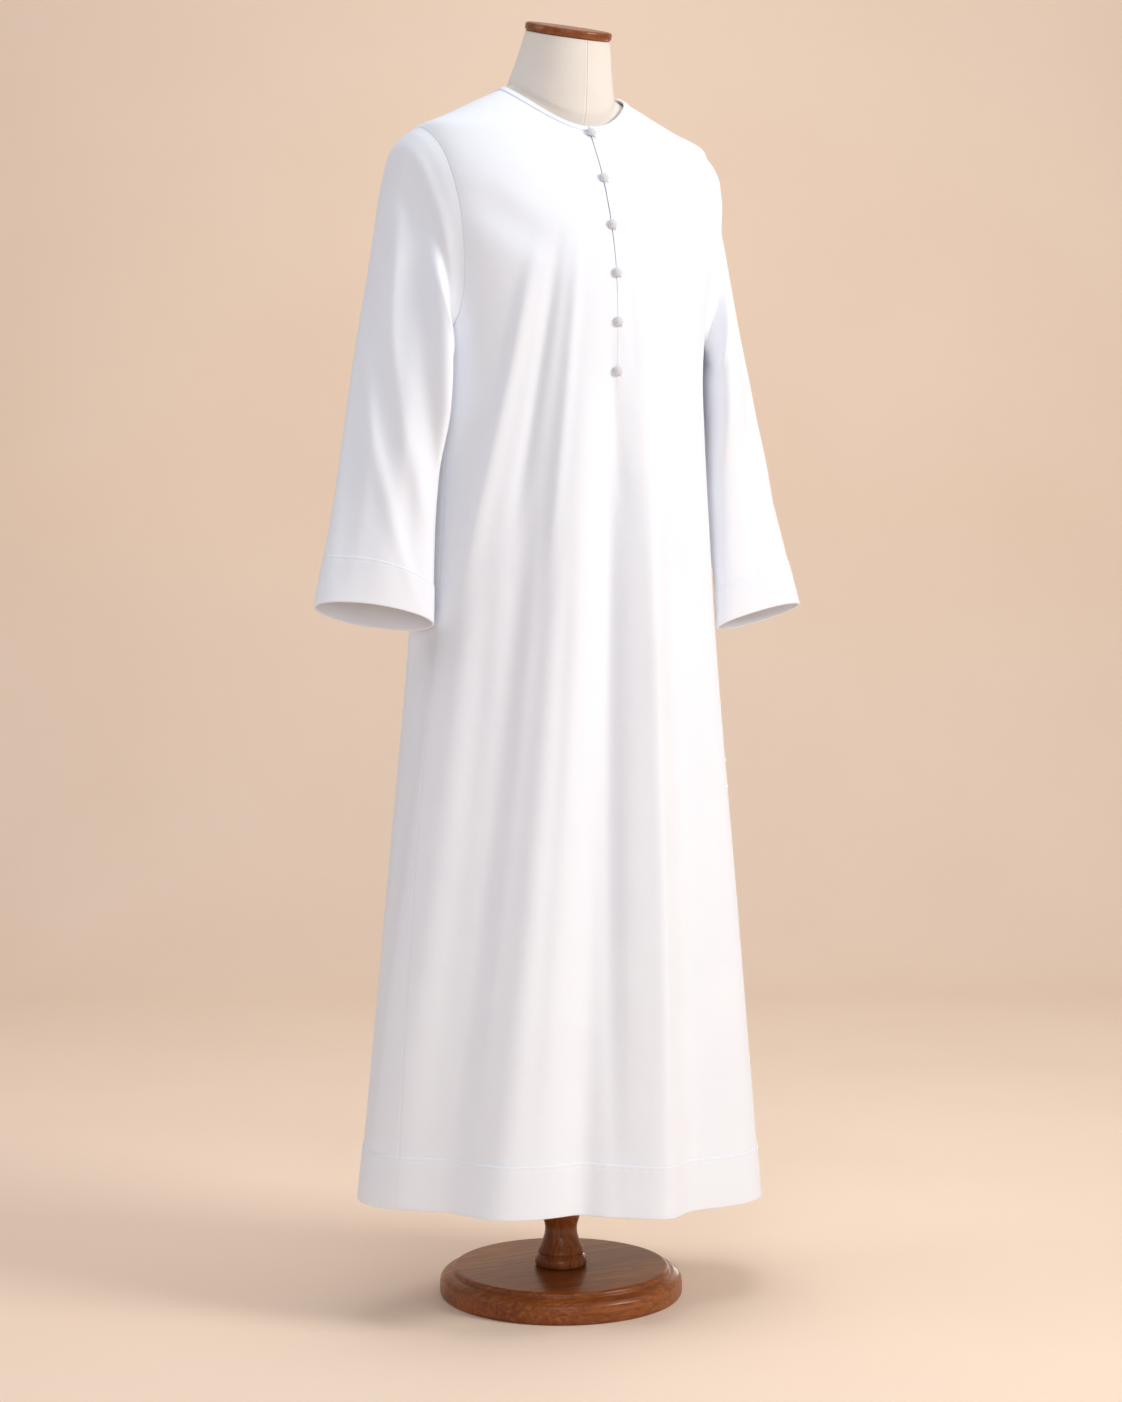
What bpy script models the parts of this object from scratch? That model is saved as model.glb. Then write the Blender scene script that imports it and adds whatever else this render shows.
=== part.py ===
"""Plain ankle-length robe with long sleeves, worn on a limbless dress form.

Metres, +Z up. The robe faces -Y, its wearer's left hand side is +X, and the
origin is on the floor under the stand's column. The cloth is made as open
surfaces with Solidify: two body panels, two sleeves, a neck binding, a hem band
on each panel, a cuff band on each sleeve, and six covered buttons down a short
front slit. The form is a padded torso with a neck, a turned wooden cap, a
turned column and a stepped round base.
"""
import math
from collections import namedtuple

import bmesh
import bpy
import numpy as np
from mathutils import Vector

MM = 0.001

# Cloth
WALL = 2.0 * MM               # a panel or a sleeve
BAND_WALL = 1.2 * MM          # the extra layer of a band
SEAM_GAP = 0.50 * MM          # between pieces that are sewn together
ARMHOLE_GAP = 0.65 * MM       # between a sleeve's head and the armhole's edge
SEAM_STRIP = 1.6 * MM         # a narrow row of faces beside a seam: both sides lie the same way
LAY_GAP = 0.3 * MM            # between a panel and the band that lies on it
BINDING_LAY = 1.00 * MM       # between the panels and the binding, on the rounder neck edge
BUTTON_LAY = 0.75 * MM        # between the cloth and a button's flat underside
STRIP_TURN = 0.8              # share of the neck's half turn where the seam's narrow row begins
EDGE_PULL = 1.5               # how steeply the armholes' pull on a panel's rows fades inwards
UNDER_BINDING = 12.0 * MM     # height over which the shoulder seam's gap widens, to twice
SAME_POINT = 0.02 * MM        # points of two grids this close are one

# Where the robe's edges are
NECK_POINT_HEIGHT = 1.585     # top of the shoulder seam
FRONT_NECK_HEIGHT = 1.528     # neckline at the centre front
BACK_NECK_HEIGHT = 1.589      # neckline at the centre back
SHOULDER_POINT_HEIGHT = 1.520
UNDERARM_HEIGHT = 1.262
HEM_HEIGHT = 0.140
HEM_SLANT = 0.016             # how much lower the hem hangs at the left side than in the middle
SIDE_SEAM_ANGLE = 76.0        # degrees round from the centre front
SHOULDER_SEAM_ANGLE = 90.0
ARMHOLE_FRONT_REACH = 17.0    # degrees that the armhole cuts into each panel
ARMHOLE_BACK_REACH = 28.0
NECK_CURVE = 1.3              # the front neckline's height follows the cosine to this power

# Bands, slit and buttons
BINDING_WIDTH = 8.0 * MM
HEM_BAND = 66.0 * MM
CUFF_BAND = 62.0 * MM
SLIT_WIDTH = 0.8 * MM
SLIT_END_HEIGHT = 1.186
BUTTON_DIAMETER = 12.5 * MM
BUTTON_RISE = 6.5 * MM
TOP_BUTTON_HEIGHT = 1.518
LOW_BUTTON_HEIGHT = 1.209
BUTTONS = 6
BUTTON_SIDE = 0.22            # share of a button's rise that is its straight side
BUTTON_FOOT = 0.90            # its flat underside and its flat crown as shares of its radius
BUTTON_CROWN = 0.19
BUTTON_ARC = 4                # steps of its dome, and steps round it
BUTTON_STEPS = 14

# Rows and columns of the cloth grids
FRONT_NECK_COLUMNS = 22
BACK_NECK_COLUMNS = 14
SHOULDER_COLUMNS = 7          # on each side of each panel
YOKE_ROWS = 12
SKIRT_ROWS = 9
SLEEVE_COLUMNS = 2 * YOKE_ROWS
SLEEVE_ROWS = 13

# Dress form and stand
FORM_BOTTOM = 0.770
FORM_COLUMNS = 36
FORM_ROWS = 22
FORM_TOP_SIDE = 1.580         # where the shoulders end and the neck starts, at the side
NECK_ROWS = 6
TURNED_STEPS = 28
BASE_STEPS = 48

Section = namedtuple("Section", "height half_width front back squareness")
BODY = (
    Section(0.100, 0.290, 0.188, 0.132, 2.0),
    Section(0.500, 0.252, 0.176, 0.126, 2.0),
    Section(0.886, 0.214, 0.163, 0.120, 2.0),
    Section(0.978, 0.207, 0.160, 0.120, 2.05),
    Section(1.128, 0.197, 0.156, 0.124, 2.1),
    Section(1.209, 0.194, 0.154, 0.127, 2.1),
    Section(1.273, 0.195, 0.153, 0.129, 2.2),
    Section(1.336, 0.202, 0.149, 0.129, 2.35),
    Section(1.400, 0.210, 0.135, 0.127, 2.5),
    Section(1.464, 0.214, 0.111, 0.120, 2.6),
    Section(1.500, 0.213, 0.091, 0.112, 2.6),
    Section(1.520, 0.208, 0.079, 0.104, 2.6),
    Section(1.542, 0.166, 0.062, 0.096, 2.3),
    Section(1.563, 0.126, 0.047, 0.088, 2.05),
    Section(1.585, 0.084, 0.031, 0.079, 2.0),
    Section(1.620, 0.056, 0.012, 0.064, 2.0),
)

# A fold's angle runs from chest to hem; depth is how far it stands out at the hem
Fold = namedtuple("Fold", "start_height chest_angle hem_angle spread depth")
BODY_FOLDS = (
    Fold(1.340, -52.0, -84.0, 10.0, 0.010),
    Fold(1.320, -34.0, -64.0, 9.0, -0.013),
    Fold(1.380, -14.0, -46.0, 11.0, 0.018),
    Fold(1.350, 2.0, -20.0, 10.0, -0.020),
    Fold(1.370, 16.0, 12.0, 10.0, 0.018),
    Fold(1.320, 34.0, 36.0, 10.0, -0.013),
    Fold(1.280, 52.0, 60.0, 10.0, 0.011),
    Fold(1.220, 100.0, 106.0, 10.0, -0.009),
    Fold(1.260, 128.0, 130.0, 11.0, 0.015),
    Fold(1.300, 152.0, 151.0, 10.0, -0.014),
    Fold(1.330, 176.0, 174.0, 12.0, 0.016),
    Fold(1.290, 201.0, 198.0, 10.0, -0.015),
    Fold(1.270, 226.0, 224.0, 11.0, 0.014),
    Fold(1.220, 252.0, 248.0, 10.0, -0.009),
)
FOLD_FADE = 0.42              # height over which a fold opens
CHEST_SHARE = 0.45            # share of its hem depth that a fold has once it is open

# Rings down a sleeve: the ends of each ring's long axis, its half thickness, and
# how far its front edge is pitched up. Forward is towards -Y.
Ring = namedtuple(
    "Ring",
    "station outer_side outer_forward outer_height inner_side inner_forward inner_height"
    " half_thick pitch",
)
SLEEVE_LENGTH = 0.50          # along the sleeve's middle; a station is a share of it
ROW_SPREAD = 1.15             # rows lie closer together near the armhole
ARMHOLE_BLEND = 0.22          # share of the sleeve over which the armhole's shape fades
SLEEVE = (
    Ring(0.00, 0.208, 0.000, 1.520, 0.1940, 0.005, 1.262, 0.080, 0.0),
    Ring(0.07, 0.233, -0.011, 1.496, 0.1985, 0.010, 1.248, 0.068, 0.0),
    Ring(0.18, 0.243, -0.042, 1.428, 0.1945, 0.072, 1.222, 0.053, 0.0),
    Ring(0.34, 0.268, -0.040, 1.290, 0.1995, 0.083, 1.160, 0.045, 4.0),
    Ring(0.55, 0.300, -0.018, 1.150, 0.2074, 0.064, 1.075, 0.038, 8.0),
    Ring(0.75, 0.327, 0.004, 1.035, 0.2105, 0.057, 0.985, 0.036, 13.0),
    Ring(1.00, 0.357, 0.018, 0.912, 0.2125, 0.056, 0.888, 0.036, 20.0),
)

# A sleeve fold's angle is 0 at the outer edge, 90 at the front and 180 at the underarm
SleeveFold = namedtuple("SleeveFold", "top bottom top_angle bottom_angle spread depth")
SLEEVE_FOLDS = (
    SleeveFold(0.04, 0.80, 35.0, 62.0, 20.0, 0.005),
    SleeveFold(0.04, 0.70, 66.0, 98.0, 18.0, -0.005),
    SleeveFold(0.30, 1.05, 30.0, 44.0, 22.0, -0.005),
    SleeveFold(0.45, 1.05, 100.0, 88.0, 24.0, 0.005),
    SleeveFold(0.10, 0.85, 300.0, 282.0, 24.0, 0.005),
    SleeveFold(0.20, 1.05, 262.0, 244.0, 22.0, -0.005),
)

# Gap between the form's cover and the inside of the cloth
Clearance = namedtuple("Clearance", "height gap")
FORM_CLEARANCE = (
    Clearance(0.770, 0.0480),
    Clearance(0.860, 0.0340),
    Clearance(0.960, 0.0380),
    Clearance(1.080, 0.0460),
    Clearance(1.200, 0.0240),
    Clearance(1.300, 0.0080),
    Clearance(1.400, 0.0040),
    Clearance(1.480, 0.0040),
    Clearance(1.620, 0.0040),
)
SHOULDER_SEAT = 3.1 * MM      # how much closer the form comes under the shoulder seams
SEAT_SPREAD = 7.0             # degrees either side of the seam
SEAT_START = 1.440            # where the seat begins, and how far up it takes to be full
SEAT_RISE = 0.060
TIP_START = 1.360             # above this the form's rings tip towards its neck's foot

# Rings up the form's neck; drop and rise tip a ring down at the front and up at the back
NeckRing = namedtuple("NeckRing", "station height half_width front back drop rise")
NECK = (
    NeckRing(0.0, 1.587, 0.0710, 0.0670, 0.0680, 0.0430, 0.0110),
    NeckRing(0.4, 1.618, 0.0625, 0.0705, 0.0530, 0.0280, 0.0160),
    NeckRing(1.0, 1.655, 0.0555, 0.0721, 0.0341, 0.0162, 0.0162),
)

# Half profiles of the turned wood, from the top down the outside
TurnedPoint = namedtuple("TurnedPoint", "radius height")
COLUMN = (
    TurnedPoint(0.0190, FORM_BOTTOM - LAY_GAP),
    TurnedPoint(0.0190, 0.2100),
    TurnedPoint(0.0225, 0.2060),
    TurnedPoint(0.0240, 0.2000),
    TurnedPoint(0.0225, 0.1940),
    TurnedPoint(0.0200, 0.1900),
    TurnedPoint(0.0215, 0.1500),
    TurnedPoint(0.0245, 0.1200),
    TurnedPoint(0.0258, 0.1080),
    TurnedPoint(0.0245, 0.1000),
    TurnedPoint(0.0218, 0.0930),
    TurnedPoint(0.0210, 0.0860),
    TurnedPoint(0.0222, 0.0770),
    TurnedPoint(0.0262, 0.0660),
    TurnedPoint(0.0308, 0.0580),
    TurnedPoint(0.0310, 0.0555),
    TurnedPoint(0.0290, 0.0530),
    TurnedPoint(0.0325, 0.0505),
    TurnedPoint(0.0345, 0.0460),
    TurnedPoint(0.0345, 0.0400),
    TurnedPoint(0.0330, 0.0373),
)
BASE = (
    TurnedPoint(0.1390, 0.0370),
    TurnedPoint(0.1425, 0.0362),
    TurnedPoint(0.1440, 0.0340),
    TurnedPoint(0.1440, 0.0310),
    TurnedPoint(0.1500, 0.0300),
    TurnedPoint(0.1560, 0.0275),
    TurnedPoint(0.1598, 0.0230),
    TurnedPoint(0.1610, 0.0170),
    TurnedPoint(0.1610, 0.0040),
    TurnedPoint(0.1585, 0.0000),
)
CAP = (
    TurnedPoint(0.0540, 0.0110),
    TurnedPoint(0.0562, 0.0098),
    TurnedPoint(0.0570, 0.0078),
    TurnedPoint(0.0570, 0.0034),
    TurnedPoint(0.0562, 0.0012),
    TurnedPoint(0.0545, 0.0000),
)

Finish = namedtuple("Finish", "colour roughness")
WHITE_COTTON = Finish((0.86, 0.86, 0.88), 0.85)
COVERED_BUTTON = Finish((0.62, 0.63, 0.66), 0.70)
CREAM_LINEN = Finish((0.80, 0.75, 0.68), 0.90)
BROWN_WOOD = Finish((0.16, 0.06, 0.028), 0.35)


# --- tables and curves -------------------------------------------------------

def curve(rows, key, value, at):
    """A smooth curve through a table's column, without overshoot, at one or many places."""
    x = np.array([getattr(row, key) for row in rows])
    y = np.array([getattr(row, value) for row in rows])
    step = np.diff(x)
    slope = np.diff(y) / step
    tangent = np.concatenate(([slope[0]], np.zeros(len(x) - 2), [slope[-1]]))
    for i in range(1, len(x) - 1):
        if slope[i - 1] * slope[i] > 0.0:
            before = 2.0 * step[i] + step[i - 1]
            after = step[i] + 2.0 * step[i - 1]
            tangent[i] = (before + after) / (before / slope[i - 1] + after / slope[i])
    at = np.clip(np.asarray(at, dtype=float), x[0], x[-1])
    index = np.clip(np.searchsorted(x, at, side="right") - 1, 0, len(x) - 2)
    width = step[index]
    t = (at - x[index]) / width
    return (
        y[index] * (1.0 + 2.0 * t) * (1.0 - t) ** 2
        + tangent[index] * width * t * (1.0 - t) ** 2
        + y[index + 1] * t ** 2 * (3.0 - 2.0 * t)
        + tangent[index + 1] * width * t ** 2 * (t - 1.0)
    )


def ease(value):
    """Rise smoothly from 0 to 1 as the value goes from 0 to 1."""
    value = np.clip(value, 0.0, 1.0)
    return value * value * (3.0 - 2.0 * value)


def angle_from(angle, centre):
    """The signed difference of two angles in degrees, within half a turn."""
    return (angle - centre + 180.0) % 360.0 - 180.0


# --- the body's surface ------------------------------------------------------

def fold_depth(angle, height):
    """How far the body's folds push the cloth out at an angle and a height."""
    total = np.zeros(np.broadcast(angle, height).shape)
    for fold in BODY_FOLDS:
        fall = (fold.start_height - height) / (fold.start_height - HEM_HEIGHT)
        centre = fold.chest_angle + (fold.hem_angle - fold.chest_angle) * np.clip(fall, 0.0, 1.1)
        opened = ease((fold.start_height - height) / FOLD_FADE)
        share = CHEST_SHARE + (1.0 - CHEST_SHARE) * np.clip(fall, 0.0, 1.0)
        across = angle_from(angle, centre) / fold.spread
        total = total + fold.depth * opened * share * np.exp(-(across ** 2))
    return total


def body_radius(angle, height, folded=True):
    """Distance of the cloth's outside from the column's axis."""
    turn = np.radians(angle)
    half_width = curve(BODY, "height", "half_width", height)
    front = curve(BODY, "height", "front", height)
    back = curve(BODY, "height", "back", height)
    power = curve(BODY, "height", "squareness", height)
    depth = np.where(np.cos(turn) > 0.0, front, back)
    across = np.abs(np.sin(turn) / half_width) ** power
    along = np.abs(np.cos(turn) / depth) ** power
    radius = (across + along) ** (-1.0 / power)
    if folded:
        radius = radius + fold_depth(angle, height)
    return radius


def body_point(angle, height, folded=True):
    """Points on the body's outside, from angles round from the front and heights."""
    angle, height = np.broadcast_arrays(np.asarray(angle, float), np.asarray(height, float))
    radius = body_radius(angle, height, folded)
    turn = np.radians(angle)
    return np.stack((radius * np.sin(turn), -radius * np.cos(turn), height), axis=-1)


def body_normal(angle, height, folded=True):
    """Outward unit normals of the body's outside."""
    turn = 0.4
    rise = 0.001
    ahead = body_point(angle + turn, height, folded)
    above = body_point(angle, height + rise, folded)
    round_way = ahead - body_point(angle - turn, height, folded)
    up_way = above - body_point(angle, height - rise, folded)
    normal = np.cross(round_way, up_way)
    return normal / np.linalg.norm(normal, axis=-1, keepdims=True)


def body_offset(angle, height, distance, folded=True):
    """Points at a distance out from the body's outside, along its normals."""
    distance = np.asarray(distance, dtype=float)[..., None]
    return body_point(angle, height, folded) + distance * body_normal(angle, height, folded)


# --- the panels' edges -------------------------------------------------------

def neck_height(angle):
    """Height of the neckline at an angle round from the front."""
    fall = NECK_POINT_HEIGHT - FRONT_NECK_HEIGHT
    cosine = np.cos(np.radians(angle))
    front = FRONT_NECK_HEIGHT + fall * (1.0 - np.maximum(cosine, 0.0) ** NECK_CURVE)
    rise = BACK_NECK_HEIGHT - NECK_POINT_HEIGHT
    back = NECK_POINT_HEIGHT - rise * cosine
    return np.where(cosine > 0.0, front, back)


def armhole(turn, reach):
    """Angle and height of the armhole's edge; turn is 0 at the shoulder, 180 at the underarm."""
    share = np.asarray(turn, dtype=float) / 180.0
    base = SHOULDER_SEAM_ANGLE + (SIDE_SEAM_ANGLE - SHOULDER_SEAM_ANGLE) * share
    angle = base + reach * np.sin(np.radians(turn))
    middle = (SHOULDER_POINT_HEIGHT + UNDERARM_HEIGHT) / 2.0
    rise = (SHOULDER_POINT_HEIGHT - UNDERARM_HEIGHT) / 2.0
    return angle, middle + rise * np.cos(np.radians(turn))


def seam_step(angle, height):
    """The turn in degrees that moves a point on the body by half a seam's gap.

    The gap widens under the binding, where the shoulder seam is at its roundest.
    """
    start = NECK_POINT_HEIGHT - 1.5 * UNDER_BINDING
    under_binding = ease((height - start) / UNDER_BINDING)
    gap = SEAM_GAP * (1.0 + under_binding)
    return np.degrees(0.5 * gap / body_radius(angle, height, folded=False))


def hem_height(angle):
    """Height of the hem, a little lower towards the left side."""
    return HEM_HEIGHT - HEM_SLANT * np.sin(np.radians(angle))


def top_edge(neck_columns, middle):
    """A panel's top edge, shoulder to shoulder: angles, heights and how near the shoulder."""
    swing = abs(SHOULDER_SEAM_ANGLE - middle)
    neck_angle = middle + np.linspace(-swing, swing, neck_columns + 1)
    over = np.linspace(0.0, 1.0, SHOULDER_COLUMNS + 1)[1:]
    seam = NECK_POINT_HEIGHT + (SHOULDER_POINT_HEIGHT - NECK_POINT_HEIGHT) * over
    first = np.full(SHOULDER_COLUMNS, middle - swing)
    last = np.full(SHOULDER_COLUMNS, middle + swing)
    angle = np.concatenate((first, neck_angle, last))
    height = np.concatenate((seam[::-1], neck_height(neck_angle), seam))
    beyond = np.concatenate((over[::-1], np.zeros(neck_columns + 1), over))
    return angle, height, beyond


def binding_drop(angle, height):
    """The fall in height that takes a point one binding's width down the body's surface."""
    step = 0.002
    way = body_point(angle, height) - body_point(angle, height - step)
    return BINDING_WIDTH * step / np.linalg.norm(way, axis=-1)


def yoke_grid(neck_columns, middle, reach):
    """Angles and heights of a panel's rows from its top edge to the underarm.

    Each row is blended in space between the top edge, the two armholes and the level
    line at the underarm, and then brought onto the body's surface. One more row lies
    close under the top edge, and the next one is a binding's width below the neckline.
    """
    top_angle, top_height, beyond = top_edge(neck_columns, middle)
    share = np.linspace(-1.0, 1.0, len(top_angle))
    pulls = [((1.0 + side * share[:, None]) / 2.0) ** EDGE_PULL for side in (-1.0, 1.0)]
    top = body_point(top_angle, top_height)
    low = body_point(middle + share * abs(SIDE_SEAM_ANGLE - middle), UNDERARM_HEIGHT)
    rows = [(top_angle, top_height)]
    for row in (0.5, *range(1, YOKE_ROWS + 1)):
        ends = armhole_ends(row, middle, reach)
        angle, height = on_body(blend(top, low, row / YOKE_ROWS, pulls, ends), middle)
        if row < 1:
            strip = strip_row(rows[0], middle, beyond)
            angle = np.where(beyond > 0.0, angle, strip[0])
            height = np.where(beyond > 0.0, height, top_height - binding_drop(top_angle, top_height))
            close_ends(strip, rows[0], (angle, height))
            rows.append(strip)
        rows.append((angle, height))
    return rows


def armhole_ends(row, middle, reach):
    """Points on a panel's two armhole edges, straight between the armhole's own points."""
    turns = 180.0 * np.array((math.floor(row), math.ceil(row))) / YOKE_ROWS
    angle, height = armhole(turns, reach)
    one = body_point(angle, height).mean(axis=0)
    other = one * np.array((-1.0, 1.0, 1.0))
    return (other, one) if angle[0] > middle else (one, other)


def on_body(points, middle):
    """Angles and heights of points near the body, with angles counted on from the middle."""
    angle = np.degrees(np.arctan2(points[:, 0], -points[:, 1]))
    return middle + angle_from(angle, middle), points[:, 2]


def strip_row(top, middle, beyond):
    """A row close below a panel's top edge: beside the shoulder seams, under the neckline."""
    swing = top[0] - middle
    turn = np.degrees(SEAM_STRIP / body_radius(*top, folded=False))
    beside = ease((np.abs(swing) / swing[-1] - STRIP_TURN) / (1.0 - STRIP_TURN)) * np.sign(swing)
    drop = np.where(beyond > 0.0, 0.0, binding_drop(*top) * SEAM_STRIP / BINDING_WIDTH)
    return top[0] - turn * beside, top[1] - drop


def close_ends(strip, top, below):
    """Put a strip row's ends on the armhole's edge, a strip's width from the top row's ends."""
    for end in (0, -1):
        corner = body_point(top[0][end], top[1][end])
        share = SEAM_STRIP / np.linalg.norm(body_point(below[0][end], below[1][end]) - corner)
        for part in (0, 1):
            strip[part][end] = top[part][end] + (below[part][end] - top[part][end]) * share


def blend(top, low, down, pulls, ends):
    """One row of a patch between a top row and a low row, drawn to an end point at each side."""
    row = (1.0 - down) * top + down * low
    first = (ends[0] - row[0]) * pulls[0]
    last = (ends[1] - row[-1]) * pulls[1]
    return row + first + last


def panel_grid(neck_columns, middle, reach):
    """Angles and heights of a whole panel, from its neck and shoulders to its hem."""
    rows = yoke_grid(neck_columns, middle, reach)
    angle = rows[-1][0]
    hem = hem_height(angle)
    band_top = hem + HEM_BAND
    for share in np.linspace(0.0, 1.0, SKIRT_ROWS):
        rows.append((angle, SLIT_END_HEIGHT + (band_top - SLIT_END_HEIGHT) * share))
    rows.append((angle, hem))
    grid = np.array(rows)
    edge = np.abs(grid[:, 0, :1] - middle)
    inward = seam_step(grid[:, 0], grid[:, 1]) * (grid[:, 0] - middle) / edge
    grid[:, 0] = grid[:, 0] - inward
    return with_seam_strips(grid)


def with_seam_strips(grid):
    """Add a column a little inside each side edge, between the edge and the next column."""
    strips = []
    for edge, after in ((0, 1), (-1, -2)):
        here = body_point(grid[:, 0, edge], grid[:, 1, edge])
        there = body_point(grid[:, 0, after], grid[:, 1, after])
        share = SEAM_STRIP / np.linalg.norm(there - here, axis=-1)
        strips.append(grid[:, :, edge] + (grid[:, :, after] - grid[:, :, edge]) * share[:, None])
    first, last = (strip[:, :, None] for strip in strips)
    return np.concatenate((grid[:, :, :1], first, grid[:, :, 1:-1], last, grid[:, :, -1:]), axis=2)


# --- the sleeves' surface ----------------------------------------------------

def sleeve_fold(turn, station):
    """How far a sleeve's folds push the cloth out."""
    total = np.zeros(np.broadcast(turn, station).shape)
    for fold in SLEEVE_FOLDS:
        along = (station - fold.top) / (fold.bottom - fold.top)
        centre = fold.top_angle + (fold.bottom_angle - fold.top_angle) * along
        inside = ease(along * 3.0) * ease((1.0 - along) * 3.0)
        across = angle_from(turn, centre) / fold.spread
        total = total + fold.depth * inside * np.exp(-(across ** 2))
    return total


def ring_value(name, station):
    """One column of the sleeve's table at any station."""
    return curve(SLEEVE, "station", name, station)


def ring_point(turn, station):
    """Points on a left sleeve's plain rings; each ring is an ellipse between its two ends."""
    turn, station = np.broadcast_arrays(np.asarray(turn, float), np.asarray(station, float))
    outer = np.stack(
        (ring_value("outer_side", station), -ring_value("outer_forward", station),
         ring_value("outer_height", station)), axis=-1)
    inner = np.stack(
        (ring_value("inner_side", station), -ring_value("inner_forward", station),
         ring_value("inner_height", station)), axis=-1)
    long_way = (outer - inner) / 2.0
    axis = long_way / np.linalg.norm(long_way, axis=-1, keepdims=True)
    front = np.array((0.0, -1.0, 0.0))
    level = front - axis * np.sum(axis * front, axis=-1, keepdims=True)
    level = level / np.linalg.norm(level, axis=-1, keepdims=True)
    pitch = np.radians(ring_value("pitch", station))[..., None]
    thick_way = level * np.cos(pitch) + np.cross(level, axis) * np.sin(pitch)
    half_thick = (ring_value("half_thick", station) + sleeve_fold(turn, station))[..., None]
    cosine = np.cos(np.radians(turn))[..., None]
    sine = np.sin(np.radians(turn))[..., None]
    return (outer + inner) / 2.0 + long_way * cosine + thick_way * half_thick * sine


def armhole_point(turn):
    """Points on the left armhole's edge, just outside the panels' edges."""
    turn = np.asarray(turn, float)
    on_front = turn <= 180.0
    front_angle, front_height = armhole(turn, -ARMHOLE_FRONT_REACH)
    back_angle, back_height = armhole(360.0 - turn, ARMHOLE_BACK_REACH)
    angle = np.where(on_front, front_angle, back_angle)
    height = np.where(on_front, front_height, back_height)
    lift = LAY_GAP * ease(-np.cos(np.radians(turn)))
    return body_offset(angle, height, lift)


def sleeve_point(turn, station):
    """Points on a left sleeve's outside, flowing from the armhole to the cuff."""
    turn, station = np.broadcast_arrays(np.asarray(turn, float), np.asarray(station, float))
    fade = (1.0 - ease(station / ARMHOLE_BLEND))[..., None]
    to_armhole = armhole_point(turn) - ring_point(turn, 0.0 * station)
    return ring_point(turn, station) + to_armhole * fade


def sleeve_normal(turn, station):
    """Outward unit normals of a left sleeve's outside."""
    step = 0.004
    round_way = sleeve_point(turn + 1.0, station) - sleeve_point(turn - 1.0, station)
    above = np.clip(station - step, 0.0, 1.0)
    below = np.clip(station + step, 0.0, 1.0)
    down_way = sleeve_point(turn, below) - sleeve_point(turn, above)
    normal = np.cross(round_way, down_way)
    return normal / np.linalg.norm(normal, axis=-1, keepdims=True)


def sleeve_stations():
    """Stations of a sleeve's rows: clear of the armhole, down to the band's top and the cuff."""
    band_top = 1.0 - CUFF_BAND / SLEEVE_LENGTH
    start = ARMHOLE_GAP / SLEEVE_LENGTH
    share = np.linspace(0.0, 1.0, SLEEVE_ROWS) ** ROW_SPREAD
    return np.concatenate((start + (band_top - start) * share, [1.0]))


def sleeve_grid(stations, distance):
    """Points of a left sleeve's rows, moved out by a distance."""
    turn = np.arange(SLEEVE_COLUMNS) * 360.0 / SLEEVE_COLUMNS
    turn, station = np.meshgrid(turn, stations)
    return sleeve_point(turn, station) + distance * sleeve_normal(turn, station)


# --- the dress form's surface ------------------------------------------------

def tipped(angle, height, drop, rise):
    """Heights round a ring that is tipped down by drop at the front and up by rise at the back."""
    cosine = np.cos(np.radians(angle))
    return height - (drop + rise) / 2.0 * cosine + (rise - drop) / 2.0 * cosine ** 2


def form_grid():
    """Points of the form's rings, from the top of the neck down to the bottom."""
    angle = np.arange(FORM_COLUMNS) * 360.0 / FORM_COLUMNS
    turn = np.radians(angle)
    rows = []
    for station in np.linspace(1.0, 0.0, NECK_ROWS):
        value = {name: float(curve(NECK, "station", name, station)) for name in NeckRing._fields}
        middle = (value["front"] - value["back"]) / 2.0
        reach = (value["front"] + value["back"]) / 2.0
        height = tipped(angle, value["height"], value["drop"], value["rise"])
        side = value["half_width"] * np.sin(turn)
        rows.append(np.stack((side, -middle - reach * np.cos(turn), height), axis=-1))
    foot = NECK[0]
    for height in np.linspace(FORM_TOP_SIDE, FORM_BOTTOM, FORM_ROWS):
        tip = ease((height - TIP_START) / (foot.height - TIP_START))
        heights = tipped(angle, height, foot.drop * tip, foot.rise * tip)
        gap = curve(FORM_CLEARANCE, "height", "gap", heights)
        from_seam = (np.abs(angle_from(angle, 0.0)) - SHOULDER_SEAM_ANGLE) / SEAT_SPREAD
        seated = ease((heights - SEAT_START) / SEAT_RISE)
        gap = gap - SHOULDER_SEAT * seated * np.exp(-from_seam ** 2)
        rows.append(body_offset(angle, heights, -(WALL + gap), folded=False))
    rows[-1][:, 2] = FORM_BOTTOM
    return np.array(rows)


# --- making the objects ------------------------------------------------------

def clear_scene():
    """Remove whatever the scene holds."""
    for thing in list(bpy.data.objects):
        bpy.data.objects.remove(thing, do_unlink=True)


def new_collection(name):
    """A collection linked to the scene."""
    collection = bpy.data.collections.new(name)
    bpy.context.scene.collection.children.link(collection)
    return collection


def new_material(name, finish):
    """A Principled material of one plain colour."""
    material = bpy.data.materials.new(name)
    material.use_nodes = True
    shader = material.node_tree.nodes["Principled BSDF"]
    shader.inputs["Base Color"].default_value = (*finish.colour, 1.0)
    shader.inputs["Roughness"].default_value = finish.roughness
    shader.inputs["Metallic"].default_value = 0.0
    return material


def place(mesh_name, bm, collection, material):
    """Turn a bmesh into a smooth-shaded object with a material."""
    mesh = bpy.data.meshes.new(mesh_name)
    bm.to_mesh(mesh)
    bm.free()
    mesh.shade_smooth()
    mesh.materials.append(material)
    thing = bpy.data.objects.new(mesh_name, mesh)
    collection.objects.link(thing)
    return thing


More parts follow.
